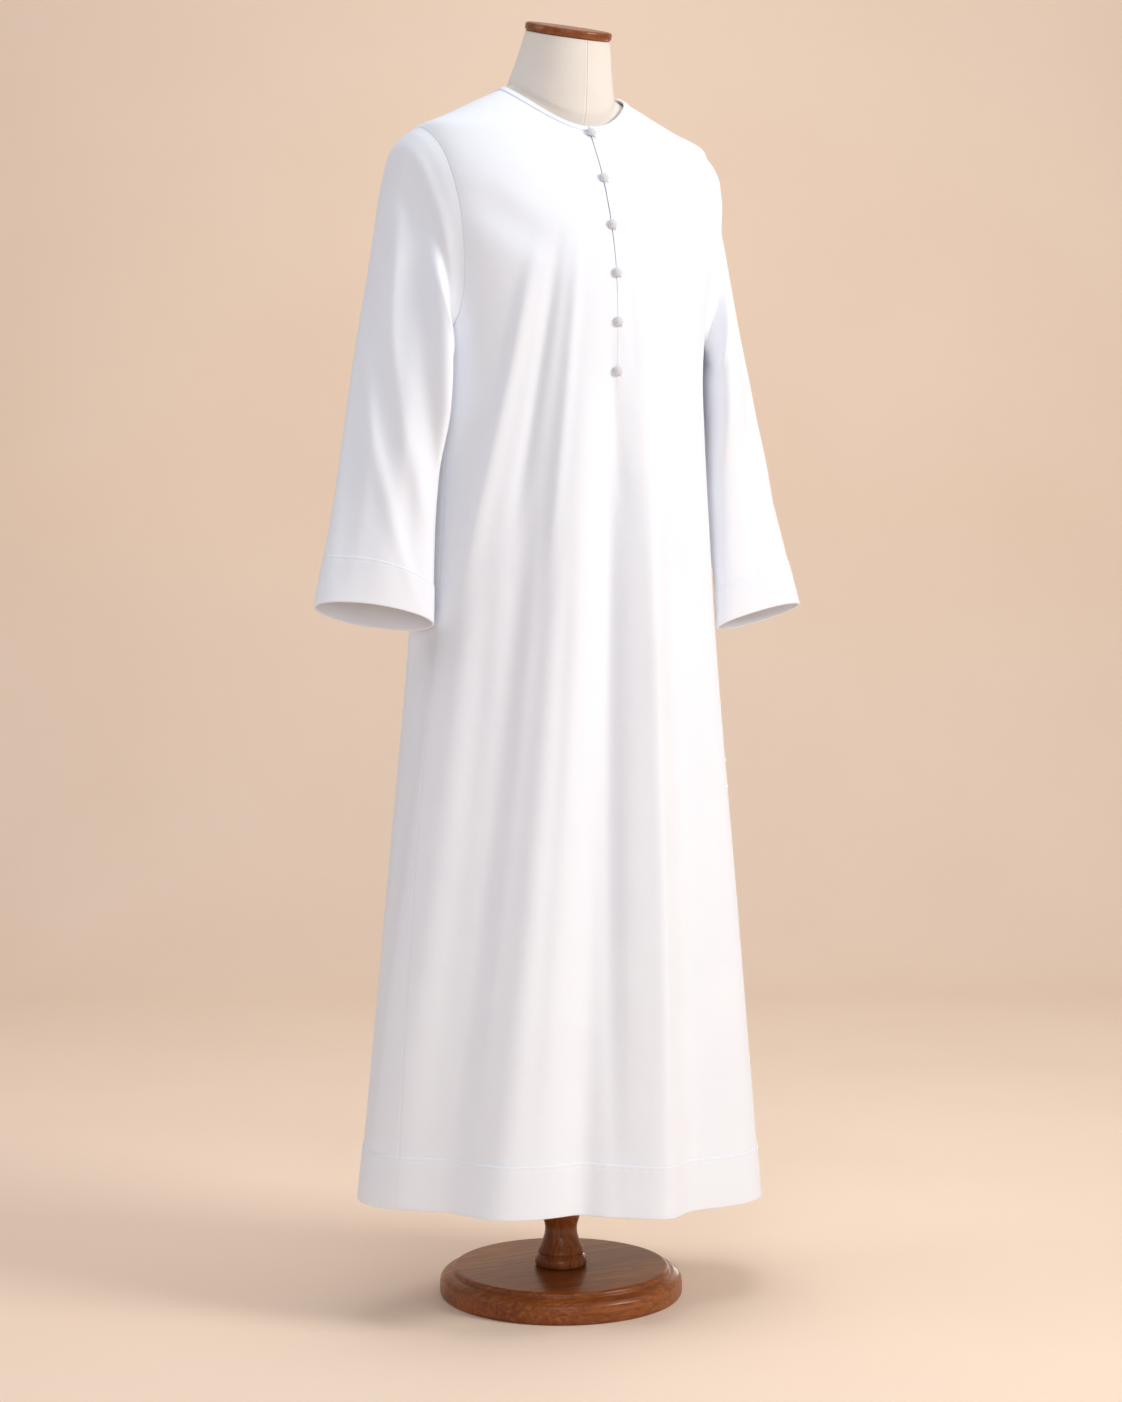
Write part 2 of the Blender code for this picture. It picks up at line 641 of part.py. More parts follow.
def add_grid(bm, points, closed, flipped):
    """Add a grid's points as quads; rows run down and columns run round."""
    verts = [[bm.verts.new(point) for point in row] for row in points]
    columns = len(points[0])
    for row in range(len(points) - 1):
        for column in range(columns if closed else columns - 1):
            after = (column + 1) % columns
            upper = verts[row]
            lower = verts[row + 1]
            face = [upper[column], lower[column], lower[after], upper[after]]
            if flipped:
                face.reverse()
            bm.faces.new(face)
    return verts


def cloth(name, grids, wall, collection, material, closed=False, flipped=False):
    """A cloth wall: one or more grids joined where they meet, with Solidify inwards."""
    bm = bmesh.new()
    for points in grids:
        add_grid(bm, points, closed, flipped)
    bmesh.ops.remove_doubles(bm, verts=bm.verts, dist=SAME_POINT)
    thing = place(name, bm, collection, material)
    solidify = thing.modifiers.new("Cloth thickness", "SOLIDIFY")
    solidify.thickness = wall
    solidify.offset = -1.0
    solidify.use_even_offset = False
    return thing


def split_halves(points, open_rows):
    """A front grid's two halves, parted at the middle by the slit in its upper rows."""
    middle = points.shape[1] // 2
    halves = []
    for side, part in ((-1.0, points[:, :middle + 1]), (1.0, points[:, middle:])):
        half = part.copy()
        edge = -1 if side < 0.0 else 0
        half[:open_rows, edge, 0] = side * SLIT_WIDTH / 2.0
        halves.append(half)
    return halves


def make_panels(collection, material):
    """The front panel, open at its slit, and the back panel; returns both grids."""
    front = panel_grid(FRONT_NECK_COLUMNS, 0.0, -ARMHOLE_FRONT_REACH)
    back = panel_grid(BACK_NECK_COLUMNS, 180.0, ARMHOLE_BACK_REACH)
    halves = split_halves(body_point(front[:, 0], front[:, 1]), YOKE_ROWS + 3)
    cloth("front_panel", halves, WALL, collection, material)
    cloth("back_panel", [body_point(back[:, 0], back[:, 1])], WALL, collection, material)
    return front, back


def make_hem_bands(grids, collection, material):
    """A band on the outside of each panel's hem."""
    for name, grid in zip(("hem_band_front", "hem_band_back"), grids):
        rows = grid[-2:]
        points = body_offset(rows[:, 0], rows[:, 1], LAY_GAP + BAND_WALL)
        cloth(name, [points], BAND_WALL, collection, material)


def make_binding(front, back, collection, material):
    """A narrow strip round the neckline, open at the slit."""
    first = SHOULDER_COLUMNS + 1
    middle = first + FRONT_NECK_COLUMNS // 2
    last = first + FRONT_NECK_COLUMNS
    right_angle = front[0, 0, middle:last]
    left_angle = front[0, 0, first + 1:middle + 1] + 360.0
    back_angle = np.linspace(SHOULDER_SEAM_ANGLE, 360.0 - SHOULDER_SEAM_ANGLE, BACK_NECK_COLUMNS + 1)
    angle = np.concatenate((right_angle, back_angle, left_angle))
    height = neck_height(angle)
    drop = binding_drop(angle, height)
    outward = BINDING_LAY + BAND_WALL
    shares = (0.0, SEAM_STRIP / BINDING_WIDTH, 1.0)
    points = np.stack([body_offset(angle, height - drop * share, outward) for share in shares])
    points[:, 0, 0] = SLIT_WIDTH / 2.0
    points[:, -1, 0] = -SLIT_WIDTH / 2.0
    cloth("neck_binding", [points], BAND_WALL, collection, material)


def make_sleeves(collection, material):
    """Both sleeves with their cuff bands; the right one mirrors the left."""
    stations = sleeve_stations()
    plain = sleeve_grid(stations, 0.0)
    band = sleeve_grid(stations[-2:], LAY_GAP + BAND_WALL)
    for side, word in ((1.0, "left"), (-1.0, "right")):
        mirror = np.array((side, 1.0, 1.0))
        flipped = side > 0.0
        cloth("sleeve_" + word, [plain * mirror], WALL, collection, material, True, flipped)
        cloth("cuff_band_" + word, [band * mirror], BAND_WALL, collection, material, True, flipped)


def turned(name, profile, steps, collection, material):
    """A turned piece: a half profile from the top down, closed at the axis, with Screw."""
    bm = bmesh.new()
    points = [(0.0, profile[0].height)]
    points += [(point.radius, point.height) for point in profile]
    points.append((0.0, profile[-1].height))
    verts = [bm.verts.new((radius, 0.0, height)) for radius, height in points]
    for start, end in zip(verts, verts[1:]):
        bm.edges.new((start, end))
    thing = place(name, bm, collection, material)
    screw = thing.modifiers.new("Turning", "SCREW")
    screw.steps = steps
    screw.render_steps = steps
    screw.use_merge_vertices = True
    screw.merge_threshold = SAME_POINT
    screw.use_smooth_shade = True
    return thing


def button_profile():
    """A low dome with a short straight side and a flat underside."""
    radius = BUTTON_DIAMETER / 2.0
    side = BUTTON_SIDE * BUTTON_RISE
    points = []
    for step in range(BUTTON_ARC, -1, -1):
        along = math.radians(90.0 * step / (BUTTON_ARC + 1))
        height = side + (BUTTON_RISE - side) * math.sin(along)
        points.append(TurnedPoint(radius * math.cos(along), height))
    foot = TurnedPoint(radius * BUTTON_FOOT, 0.0)
    return [TurnedPoint(radius * BUTTON_CROWN, BUTTON_RISE), *points, foot]


def make_buttons(collection, material):
    """The covered buttons, evenly spaced down the slit, each square to the cloth under it."""
    for number in range(BUTTONS):
        share = number / (BUTTONS - 1)
        height = TOP_BUTTON_HEIGHT + (LOW_BUTTON_HEIGHT - TOP_BUTTON_HEIGHT) * share
        outward = Vector(body_normal(0.0, height))
        outward.x = 0.0
        name = "button_%d" % (number + 1)
        button = turned(name, button_profile(), BUTTON_STEPS, collection, material)
        lift = BUTTON_LAY + (BINDING_LAY + BAND_WALL if number == 0 else 0.0)
        button.location = Vector(body_point(0.0, height)) + outward.normalized() * lift
        button.rotation_mode = "QUATERNION"
        button.rotation_quaternion = outward.to_track_quat("Z", "Y")


def make_form(collection, material):
    """The padded torso and neck, smooth and whole, closed flat at both ends."""
    bm = bmesh.new()
    verts = add_grid(bm, form_grid(), True, False)
    bm.faces.new(verts[0])
    bm.faces.new(verts[-1][::-1])
    place("dress_form", bm, collection, material)


def make_stand(collection, material):
    """The neck's cap, the column and the round base, all turned wood."""
    top = NECK[-1]
    lean = math.atan2(top.drop, (top.front + top.back) / 2.0)
    cap = turned("neck_cap", CAP, TURNED_STEPS, collection, material)
    seat = Vector((0.0, -(top.front - top.back) / 2.0, top.height))
    up = Vector((0.0, -math.sin(lean), math.cos(lean)))
    cap.location = seat + up * SEAM_GAP
    cap.rotation_euler = (lean, 0.0, 0.0)
    turned("column", COLUMN, TURNED_STEPS, collection, material)
    turned("base", BASE, BASE_STEPS, collection, material)


def main():
    """Build the robe, the form and the stand."""
    clear_scene()
    collection = new_collection("thobe_on_dress_form")
    white = new_material("white_cotton", WHITE_COTTON)
    covered = new_material("covered_button", COVERED_BUTTON)
    linen = new_material("cream_linen", CREAM_LINEN)
    wood = new_material("brown_turned_wood", BROWN_WOOD)
    grids = make_panels(collection, white)
    make_hem_bands(grids, collection, white)
    make_binding(*grids, collection, white)
    make_sleeves(collection, white)
    make_buttons(collection, covered)
    make_form(collection, linen)
    make_stand(collection, wood)


if __name__ == "__main__":
    main()
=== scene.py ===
"""Looks of a plain ankle-length robe worn on a limbless dress form.

Metres, +Z up. The robe faces -Y, its wearer's left is +X, and the origin is on
the floor under the stand's column. Each cloth piece is a thin shell worked out on
the form of its solid: the same sections, rings and folds, with finer creases,
rolled seam edges and rows of stitches.
"""

import logging
import math
from dataclasses import dataclass
from enum import Enum

import bmesh
import bpy
import numpy as np
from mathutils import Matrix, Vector


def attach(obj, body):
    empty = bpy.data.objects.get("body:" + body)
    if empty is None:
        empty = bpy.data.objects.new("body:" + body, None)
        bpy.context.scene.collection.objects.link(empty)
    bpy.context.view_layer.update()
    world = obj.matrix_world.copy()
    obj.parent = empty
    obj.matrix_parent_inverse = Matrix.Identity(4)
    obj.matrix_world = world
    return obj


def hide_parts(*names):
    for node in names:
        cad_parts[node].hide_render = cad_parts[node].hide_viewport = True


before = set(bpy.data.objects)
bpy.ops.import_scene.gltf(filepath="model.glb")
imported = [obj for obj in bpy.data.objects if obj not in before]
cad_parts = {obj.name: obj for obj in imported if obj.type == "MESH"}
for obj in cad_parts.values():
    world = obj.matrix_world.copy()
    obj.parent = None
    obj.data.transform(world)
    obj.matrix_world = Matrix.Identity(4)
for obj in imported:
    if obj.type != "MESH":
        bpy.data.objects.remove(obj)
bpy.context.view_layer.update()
LOG = logging.getLogger("robe")
MM = 0.001
Array = np.ndarray
Pieces = dict[str, bpy.types.Object]


# --- small tools ---------------------------------------------------------------


def linear(code: str) -> tuple[float, float, float, float]:
    """Turn an sRGB hex value into a linear colour.

    Args:
        code: six hex digits.

    Returns:
        Red, green, blue and an alpha of 1.
    """
    parts = [int(code[i : i + 2], 16) / 255.0 for i in (0, 2, 4)]
    return (*[p / 12.92 if p <= 0.04045 else ((p + 0.055) / 1.055) ** 2.4 for p in parts], 1.0)


def ease(value: Array) -> Array:
    """Rise smoothly from 0 to 1 as the value goes from 0 to 1: 3t^2 - 2t^3."""
    value = np.clip(value, 0.0, 1.0)
    return value * value * (3.0 - 2.0 * value)


def turn_from(angle: Array, centre: Array) -> Array:
    """The signed difference of two angles in degrees, within half a turn."""
    return (angle - centre + 180.0) % 360.0 - 180.0


def curve(rows: tuple, key: str, value: str, at: Array) -> Array:
    """Read a smooth curve through a table's column, without overshoot.

    Each stretch is a cubic between two rows, whose slope at a row is the weighted
    harmonic mean of the slopes on either side, or nought where they turn.

    Args:
        rows: the table's rows, in rising order of the key.
        key: the name of the column that is gone along.
        value: the name of the column that is read.
        at: one or many places along the key.

    Returns:
        The value at each place.
    """
    x = np.array([getattr(row, key) for row in rows])
    y = np.array([getattr(row, value) for row in rows])
    step = np.diff(x)
    slope = np.diff(y) / step
    one, two = slope[:-1], slope[1:]
    before, after = 2.0 * step[1:] + step[:-1], step[1:] + 2.0 * step[:-1]
    rising = one * two > 0.0
    safe_one, safe_two = np.where(rising, one, 1.0), np.where(rising, two, 1.0)
    inner = np.where(rising, (before + after) / (before / safe_one + after / safe_two), 0.0)
    tangent = np.concatenate((slope[:1], inner, slope[-1:]))
    at = np.clip(np.asarray(at, dtype=float), x[0], x[-1])
    index = np.clip(np.searchsorted(x, at, side="right") - 1, 0, len(x) - 2)
    width = step[index]
    t = (at - x[index]) / width
    return (
        y[index] * (1.0 + 2.0 * t) * (1.0 - t) ** 2
        + tangent[index] * width * t * (1.0 - t) ** 2
        + y[index + 1] * t**2 * (3.0 - 2.0 * t)
        + tangent[index + 1] * width * t**2 * (t - 1.0)
    )


def unit(vectors: Array) -> Array:
    """Vectors of length 1 along the given ones."""
    return vectors / np.maximum(np.linalg.norm(vectors, axis=-1, keepdims=True), 1e-12)


def run_length(points: Array, axis: int) -> Array:
    """The length gone along a grid's rows or columns, from its first point.

    Args:
        points: rows by columns by 3.
        axis: 0 to go down the columns, 1 to go along the rows.

    Returns:
        Rows by columns, in metres.
    """
    steps = np.linalg.norm(np.diff(points, axis=axis), axis=-1)
    pad = [(0, 0), (0, 0)]
    pad[axis] = (1, 0)
    return np.pad(np.cumsum(steps, axis=axis), pad)


def flat_map(points: Array, column: int, row: int) -> Array:
    """A cloth's own flat map in metres: lengths along its rows and columns from one point.

    Args:
        points: rows by columns by 3.
        column: where the lengths across start.
        row: where the lengths down start.

    Returns:
        Rows by columns by 2.
    """
    across = run_length(points, 1)
    down = run_length(points, 0)
    return np.stack((across - across[:, [column]], down[[row]] - down), axis=-1)


@dataclass
class Patch:
    """A grid of points with its flat map, and how it closes on itself."""

    points: Array
    flat: Array
    round_columns: bool = False
    round_rows: bool = False
    flipped: bool = False
    capped: bool = False

    def faces(self) -> tuple[Array, Array]:
        """Quads of vertex numbers and of flat-map numbers.

        Returns:
            Two arrays, faces by 4.
        """
        rows, columns = self.points.shape[:2]
        r, c = np.meshgrid(
            np.arange(rows if self.round_rows else rows - 1),
            np.arange(columns if self.round_columns else columns - 1),
            indexing="ij",
        )
        corners = [(r, c), (r + 1, c), (r + 1, c + 1), (r, c + 1)]
        if self.flipped:
            corners.reverse()
        verts = [(a % rows) * columns + b % columns for a, b in corners]
        width = self.flat.shape[1]
        maps = [a * width + b for a, b in corners]
        stack = [np.stack([part.ravel() for part in parts], axis=-1) for parts in (verts, maps)]
        return stack[0], stack[1]


def build(
    name: str, patches: list[Patch], material: bpy.types.Material, weld: bool = False
) -> bpy.types.Object:
    """Make one smooth-shaded mesh of several grids, with their flat maps as its UV map.

    Args:
        name: the piece's name.
        patches: its grids.
        material: its finish.
        weld: join points of two grids that are in the same place.

    Returns:
        The new object, at the origin.
    """
    points, faces, maps, places, ends = [], [], [], [], []
    start, map_start = 0, 0
    for patch in patches:
        quads, flats = patch.faces()
        points.append(patch.points.reshape(-1, 3))
        places.append(patch.flat.reshape(-1, 2))
        faces.append(quads + start)
        maps.append(flats + map_start)
        if patch.capped:
            rows, columns = patch.points.shape[:2]
            ring = np.arange(rows) * columns + start
            ends += [ring[::-1] if not patch.flipped else ring]
            ends += [ring + columns - 1 if not patch.flipped else (ring + columns - 1)[::-1]]
        start += len(points[-1])
        map_start += len(places[-1])
    all_points = np.concatenate(points)
    quads = np.concatenate(faces)
    mesh = bpy.data.meshes.new(name)
    mesh.from_pydata(all_points, [], quads.tolist() + [end.tolist() for end in ends])
    layer = mesh.uv_layers.new(name="flat")
    uv = np.zeros((len(mesh.loops), 2), np.float32)
    uv[: quads.size] = np.concatenate(places)[np.concatenate(maps).ravel()]
    layer.data.foreach_set("uv", uv.ravel())
    mesh.update()
    if weld:
        bm = bmesh.new()
        bm.from_mesh(mesh)
        bmesh.ops.remove_doubles(bm, verts=bm.verts, dist=0.01 * MM)
        bm.to_mesh(mesh)
        bm.free()
    mesh.shade_smooth()
    mesh.materials.append(material)
    thing = bpy.data.objects.new(name, mesh)
    bpy.context.scene.collection.objects.link(thing)
    return thing


def finish_piece(thing: bpy.types.Object, slot: str, *nodes: str) -> bpy.types.Object:
    """Seat a piece on the stand, and hide the solids that it stands for.

    Args:
        thing: the piece.
        slot: the material slot's name, not used.
        nodes: the solids that it stands for.

    Returns:
        The same piece.
    """
    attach(thing, "root")
    if nodes:
        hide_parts(*nodes)
    LOG.info("%s: %d faces", thing.name, len(thing.data.polygons))
    return thing


def thicken(thing: bpy.types.Object, wall: float) -> None:
    """Give an open cloth surface its wall, inwards.

    Args:
        thing: the cloth.
        wall: its thickness in metres.
    """
    solidify = thing.modifiers.new("Cloth thickness", "SOLIDIFY")
    solidify.thickness = wall
    solidify.offset = -1.0


def add_node(tree: bpy.types.NodeTree, kind: str, settings: dict, links: dict) -> bpy.types.Node:
    """Add a node with its settings and its inputs.

    Args:
        tree: the material's nodes.
        kind: the node's type.
        settings: its own properties by name.
        links: input name or number to a value, or to an output socket.

    Returns:
        The node.
    """
    node = tree.nodes.new(kind)
    for name, value in settings.items():
        setattr(node, name, value)
    for name, value in links.items():
        socket = node.inputs[name]
        if isinstance(value, bpy.types.NodeSocket):
            tree.links.new(value, socket)
        else:
            socket.default_value = value
    return node


def blank_material(name: str) -> tuple[bpy.types.Material, bpy.types.NodeTree, bpy.types.Node]:
    """Start a material.

    Args:
        name: its name.

    Returns:
        The material, its tree and its Principled shader.
    """
    material = bpy.data.materials.new(name)
    material.use_nodes = True
    tree = material.node_tree
    return material, tree, tree.nodes["Principled BSDF"]


def set_values(shader: bpy.types.Node, values: dict[str, float | tuple[float, ...]]) -> None:
    """Set the inputs that are the same all over a surface.

    Args:
        shader: the material's shader.
        values: input name to its value.
    """
    for name, value in values.items():
        shader.inputs[name].default_value = value


def ridges(spacing: float) -> float:
    """The wave texture's scale that gives one ridge to a spacing in metres."""
    return math.pi / 10.0 / spacing


def crossed_threads(
    tree: bpy.types.NodeTree, thread: float, unevenness: dict[str, float]
) -> tuple[bpy.types.NodeSocket, list[bpy.types.NodeSocket]]:
    """Two wave patterns across each other on the flat map, a ridge to each thread.

    Args:
        tree: the material's nodes.
        thread: the threads' spacing in metres.
        unevenness: the waves' own inputs that break them up.

    Returns:
        The flat map, and both waves' outputs.
    """
    flat = add_node(tree, "ShaderNodeUVMap", {"uv_map": "flat"}, {}).outputs["UV"]
    waves = [
        add_node(
            tree,
            "ShaderNodeTexWave",
            {"wave_type": "BANDS", "bands_direction": direction},
            {"Vector": flat, "Scale": ridges(thread), **unevenness},
        ).outputs["Fac"]
        for direction in ("X", "Y")
    ]
    return flat, waves


# --- finishes ------------------------------------------------------------------


@dataclass(frozen=True)
class CottonFinish:
    """Bleached plain-weave cotton, pressed smooth: a dull face, faint threads and soft crumple."""

    name: str = "bleached_plain_weave_cotton"
    light: str = "F3F6FB"
    shade: str = "ECEEF6"
    thread: float = 1.1 * MM  # drawn about three times coarser than the real thread, to show
    crumple: float = 38.0 * MM
    weave_depth: float = 0.10
    crumple_depth: float = 0.22
    roughness: float = 0.82

    def material(self) -> bpy.types.Material:
        """Two crossed wave patterns on the flat map are the threads, two noises the crumple.

        Returns:
            The material.
        """
        material, tree, shader = blank_material(self.name)
        flat, waves = crossed_threads(tree, self.thread, {"Distortion": 0.6, "Detail": 1.0})
        threads = add_node(tree, "ShaderNodeMath", {"operation": "MAXIMUM"}, {0: waves[0], 1: waves[1]})
        place = add_node(tree, "ShaderNodeTexCoord", {}, {}).outputs["Object"]
        crumple = add_node(
            tree,
            "ShaderNodeTexNoise",
            {},
            {"Vector": place, "Scale": 1.0 / self.crumple, "Detail": 3.0, "Roughness": 0.45},
        ).outputs["Fac"]
        soft = add_node(
            tree,
            "ShaderNodeBump",
            {},
            {"Height": crumple, "Strength": self.crumple_depth, "Distance": 4.0 * MM},
        ).outputs["Normal"]
        fine = add_node(
            tree,
            "ShaderNodeBump",
            {},
            {
                "Height": threads.outputs[0],
                "Strength": self.weave_depth,
                "Distance": 0.15 * MM,
                "Normal": soft,
            },
        ).outputs["Normal"]
        tone = add_node(
            tree,
            "ShaderNodeTexNoise",
            {},
            {"Vector": flat, "Scale": 9.0, "Detail": 5.0, "Roughness": 0.6},
        ).outputs["Fac"]
        colour = add_node(
            tree,
            "ShaderNodeMix",
            {"data_type": "RGBA"},
            {"Factor": tone, 6: linear(self.light), 7: linear(self.shade)},
        ).outputs[2]
        tree.links.new(colour, shader.inputs["Base Color"])
        tree.links.new(fine, shader.inputs["Normal"])
        set_values(
            shader,
            {
                "Roughness": self.roughness,
                "Sheen Weight": 0.12,
                "Sheen Roughness": 0.45,
                "Specular IOR Level": 0.25,
            },
        )
        return material


@dataclass(frozen=True)
class ThreadFinish:
    """Twisted cotton sewing thread, a little whiter and glossier than the cloth."""

    name: str = "twisted_sewing_thread"
    colour: str = "F4F4F6"
    twist: float = 0.8 * MM

    def material(self) -> bpy.types.Material:
        """A slanted wave across the thread is its twist.

        Returns:
            The material.
        """
        material, tree, shader = blank_material(self.name)
        flat = add_node(tree, "ShaderNodeUVMap", {"uv_map": "flat"}, {}).outputs["UV"]
        wave = add_node(
            tree,
            "ShaderNodeTexWave",
            {"wave_type": "BANDS", "bands_direction": "DIAGONAL"},
            {"Vector": flat, "Scale": ridges(self.twist)},
        ).outputs["Fac"]
        bump = add_node(
            tree, "ShaderNodeBump", {}, {"Height": wave, "Strength": 0.4, "Distance": 0.1 * MM}
        ).outputs["Normal"]
        tree.links.new(bump, shader.inputs["Normal"])
        set_values(shader, {"Base Color": linear(self.colour), "Roughness": 0.6})
        return material


@dataclass(frozen=True)
class LinenFinish:
    """Unbleached linen stretched over padding: slubby crossed threads and a warm uneven cream."""

    name: str = "unbleached_linen_cover"
    light: str = "EEE6DD"
    shade: str = "DDD0C3"
    thread: float = 1.3 * MM  # drawn about twice as coarse as the real thread, to show

    def material(self) -> bpy.types.Material:
        """Crossed waves, each broken up by noise, are the slubs; a long noise tints them.

        Returns:
            The material.
        """
        material, tree, shader = blank_material(self.name)
        slubs = {"Distortion": 2.2, "Detail": 2.0, "Detail Scale": 1.4}
        flat, waves = crossed_threads(tree, self.thread, slubs)
        threads = add_node(
            tree, "ShaderNodeMath", {"operation": "ADD"}, {0: waves[0], 1: waves[1]}
        ).outputs[0]
        bump = add_node(
            tree, "ShaderNodeBump", {}, {"Height": threads, "Strength": 0.30, "Distance": 0.25 * MM}
        ).outputs["Normal"]
        slub = add_node(
            tree, "ShaderNodeTexNoise", {}, {"Vector": flat, "Scale": 260.0, "Detail": 3.0, "Roughness": 0.7}
        ).outputs["Fac"]
        stain = add_node(
            tree, "ShaderNodeTexNoise", {}, {"Vector": flat, "Scale": 14.0, "Detail": 2.0}
        ).outputs["Fac"]
        both = add_node(tree, "ShaderNodeMath", {"operation": "MULTIPLY"}, {0: slub, 1: stain}).outputs[0]
        colour = add_node(
            tree,
            "ShaderNodeMix",
            {"data_type": "RGBA"},
            {"Factor": both, 6: linear(self.light), 7: linear(self.shade)},
        ).outputs[2]
        tree.links.new(colour, shader.inputs["Base Color"])
        tree.links.new(bump, shader.inputs["Normal"])
        set_values(shader, {"Roughness": 0.85, "Specular IOR Level": 0.25, "Sheen Weight": 0.1})
        return material


@dataclass(frozen=True)
class WoodFinish:
    """Stained and varnished hardwood, turned: dark red-brown, close grain and a clear gloss coat."""

    name: str = "varnished_turned_hardwood"
    light: str = "B06A30"
    middle: str = "84441A"
    dark: str = "56290C"
    grain: float = 5.0 * MM
    grain_along: tuple[float, float, float] = (1.0, 1.0, 0.08)

    def material(self) -> bpy.types.Material:
        """A noise stretched along the grain, warped by a coarser one, runs through three browns.

        Returns:
            The material.
        """
        material, tree, shader = blank_material(self.name)
        place = add_node(tree, "ShaderNodeTexCoord", {}, {}).outputs["Object"]
        long_way = add_node(
            tree, "ShaderNodeMapping", {}, {"Vector": place, "Scale": self.grain_along}
        ).outputs["Vector"]
        figure = add_node(
            tree,
            "ShaderNodeTexNoise",
            {},
            {
                "Vector": long_way,
                "Scale": 1.0 / self.grain,
                "Detail": 6.0,
                "Roughness": 0.62,
                "Distortion": 0.8,
            },
        ).outputs["Fac"]
        broad = add_node(
            tree, "ShaderNodeTexNoise", {}, {"Vector": long_way, "Scale": 14.0, "Detail": 2.0}
        ).outputs["Fac"]
        both = add_node(
            tree, "ShaderNodeMix", {"data_type": "FLOAT"}, {"Factor": 0.45, 2: figure, 3: broad}
        ).outputs[0]
        ramp = add_node(tree, "ShaderNodeValToRGB", {}, {"Fac": both})
        stops = ramp.color_ramp.elements
        stops[0].position, stops[0].color = 0.32, linear(self.dark)
        stops[1].position, stops[1].color = 0.68, linear(self.light)
        stops.new(0.5).color = linear(self.middle)
        bump = add_node(
            tree, "ShaderNodeBump", {}, {"Height": figure, "Strength": 0.08, "Distance": 0.3 * MM}
        ).outputs["Normal"]
        tree.links.new(ramp.outputs["Color"], shader.inputs["Base Color"])
        tree.links.new(bump, shader.inputs["Normal"])
        set_values(
            shader,
            {
                "Roughness": 0.40,
                "Specular IOR Level": 0.25,
                "Coat Weight": 0.26,
                "Coat Roughness": 0.14,
            },
        )
        return material


@dataclass(frozen=True)
class FloorFinish:
    """Pale matte plaster for the floor and the wall, clear from behind so that the wall hides nothing."""

    name: str = "pale_matte_plaster"
    light: str = "FBE4CF"
    shade: str = "F2D9C1"

    def material(self) -> bpy.types.Material:
        """A broad faint noise between two near tones, mixed with a clear back.

        Returns:
            The material.
        """
        material, tree, shader = blank_material(self.name)
        place = add_node(tree, "ShaderNodeTexCoord", {}, {}).outputs["Object"]
        tone = add_node(
            tree, "ShaderNodeTexNoise", {}, {"Vector": place, "Scale": 1.4, "Detail": 4.0}
        ).outputs["Fac"]
        colour = add_node(
            tree,
            "ShaderNodeMix",
            {"data_type": "RGBA"},
            {"Factor": tone, 6: linear(self.light), 7: linear(self.shade)},
        ).outputs[2]
        tree.links.new(colour, shader.inputs["Base Color"])
        set_values(shader, {"Roughness": 0.75})
        behind = add_node(tree, "ShaderNodeNewGeometry", {}, {}).outputs["Backfacing"]
        clear = add_node(tree, "ShaderNodeBsdfTransparent", {}, {}).outputs[0]
        both = add_node(tree, "ShaderNodeMixShader", {}, {0: behind, 1: shader.outputs[0], 2: clear})
        tree.links.new(both.outputs[0], tree.nodes["Material Output"].inputs["Surface"])
        return material


@dataclass(frozen=True)
class Finishes:
    """Every finish, made once."""

    cotton: bpy.types.Material
    buttons: bpy.types.Material
    thread: bpy.types.Material
    linen: bpy.types.Material
    turned_wood: bpy.types.Material
    base_wood: bpy.types.Material
    plaster: bpy.types.Material


def make_finishes() -> Finishes:
    """Make the materials.

    Returns:
        All of them.
    """
    covered = CottonFinish(
        "button_covering_cotton",
        light="DFE0E4",
        shade="D2D3D9",
        thread=0.9 * MM,
        crumple=6.0 * MM,
        weave_depth=0.2,
        crumple_depth=0.1,
        roughness=0.7,
    )
    board = WoodFinish("varnished_hardwood_disc", grain_along=(0.08, 1.0, 1.0))
    return Finishes(
        cotton=CottonFinish().material(),
        buttons=covered.material(),
        thread=ThreadFinish().material(),
        linen=LinenFinish().material(),
        turned_wood=WoodFinish().material(),
        base_wood=board.material(),
        plaster=FloorFinish().material(),
    )


# --- the robe's body -------------------------------------------------------------


@dataclass(frozen=True)
class Section:
    """A level section of the body: half its width, and its reach to the front and back."""

    height: float
    half_width: float
    front: float
    back: float
    squareness: float


@dataclass(frozen=True)
class Fold:
    """A long fold: its angles at chest and hem, its spread in degrees and its depth at the hem."""

    start_height: float
    chest_angle: float
    hem_angle: float
    spread: float
    depth: float


@dataclass(frozen=True)
class Crease:
    """A soft ridge or trough between two places on the body; sizes across it are in mm."""

    top_angle: float
    top_height: float
    low_angle: float
    low_height: float
    half_width: float
    depth: float
    bow: float = 0.0


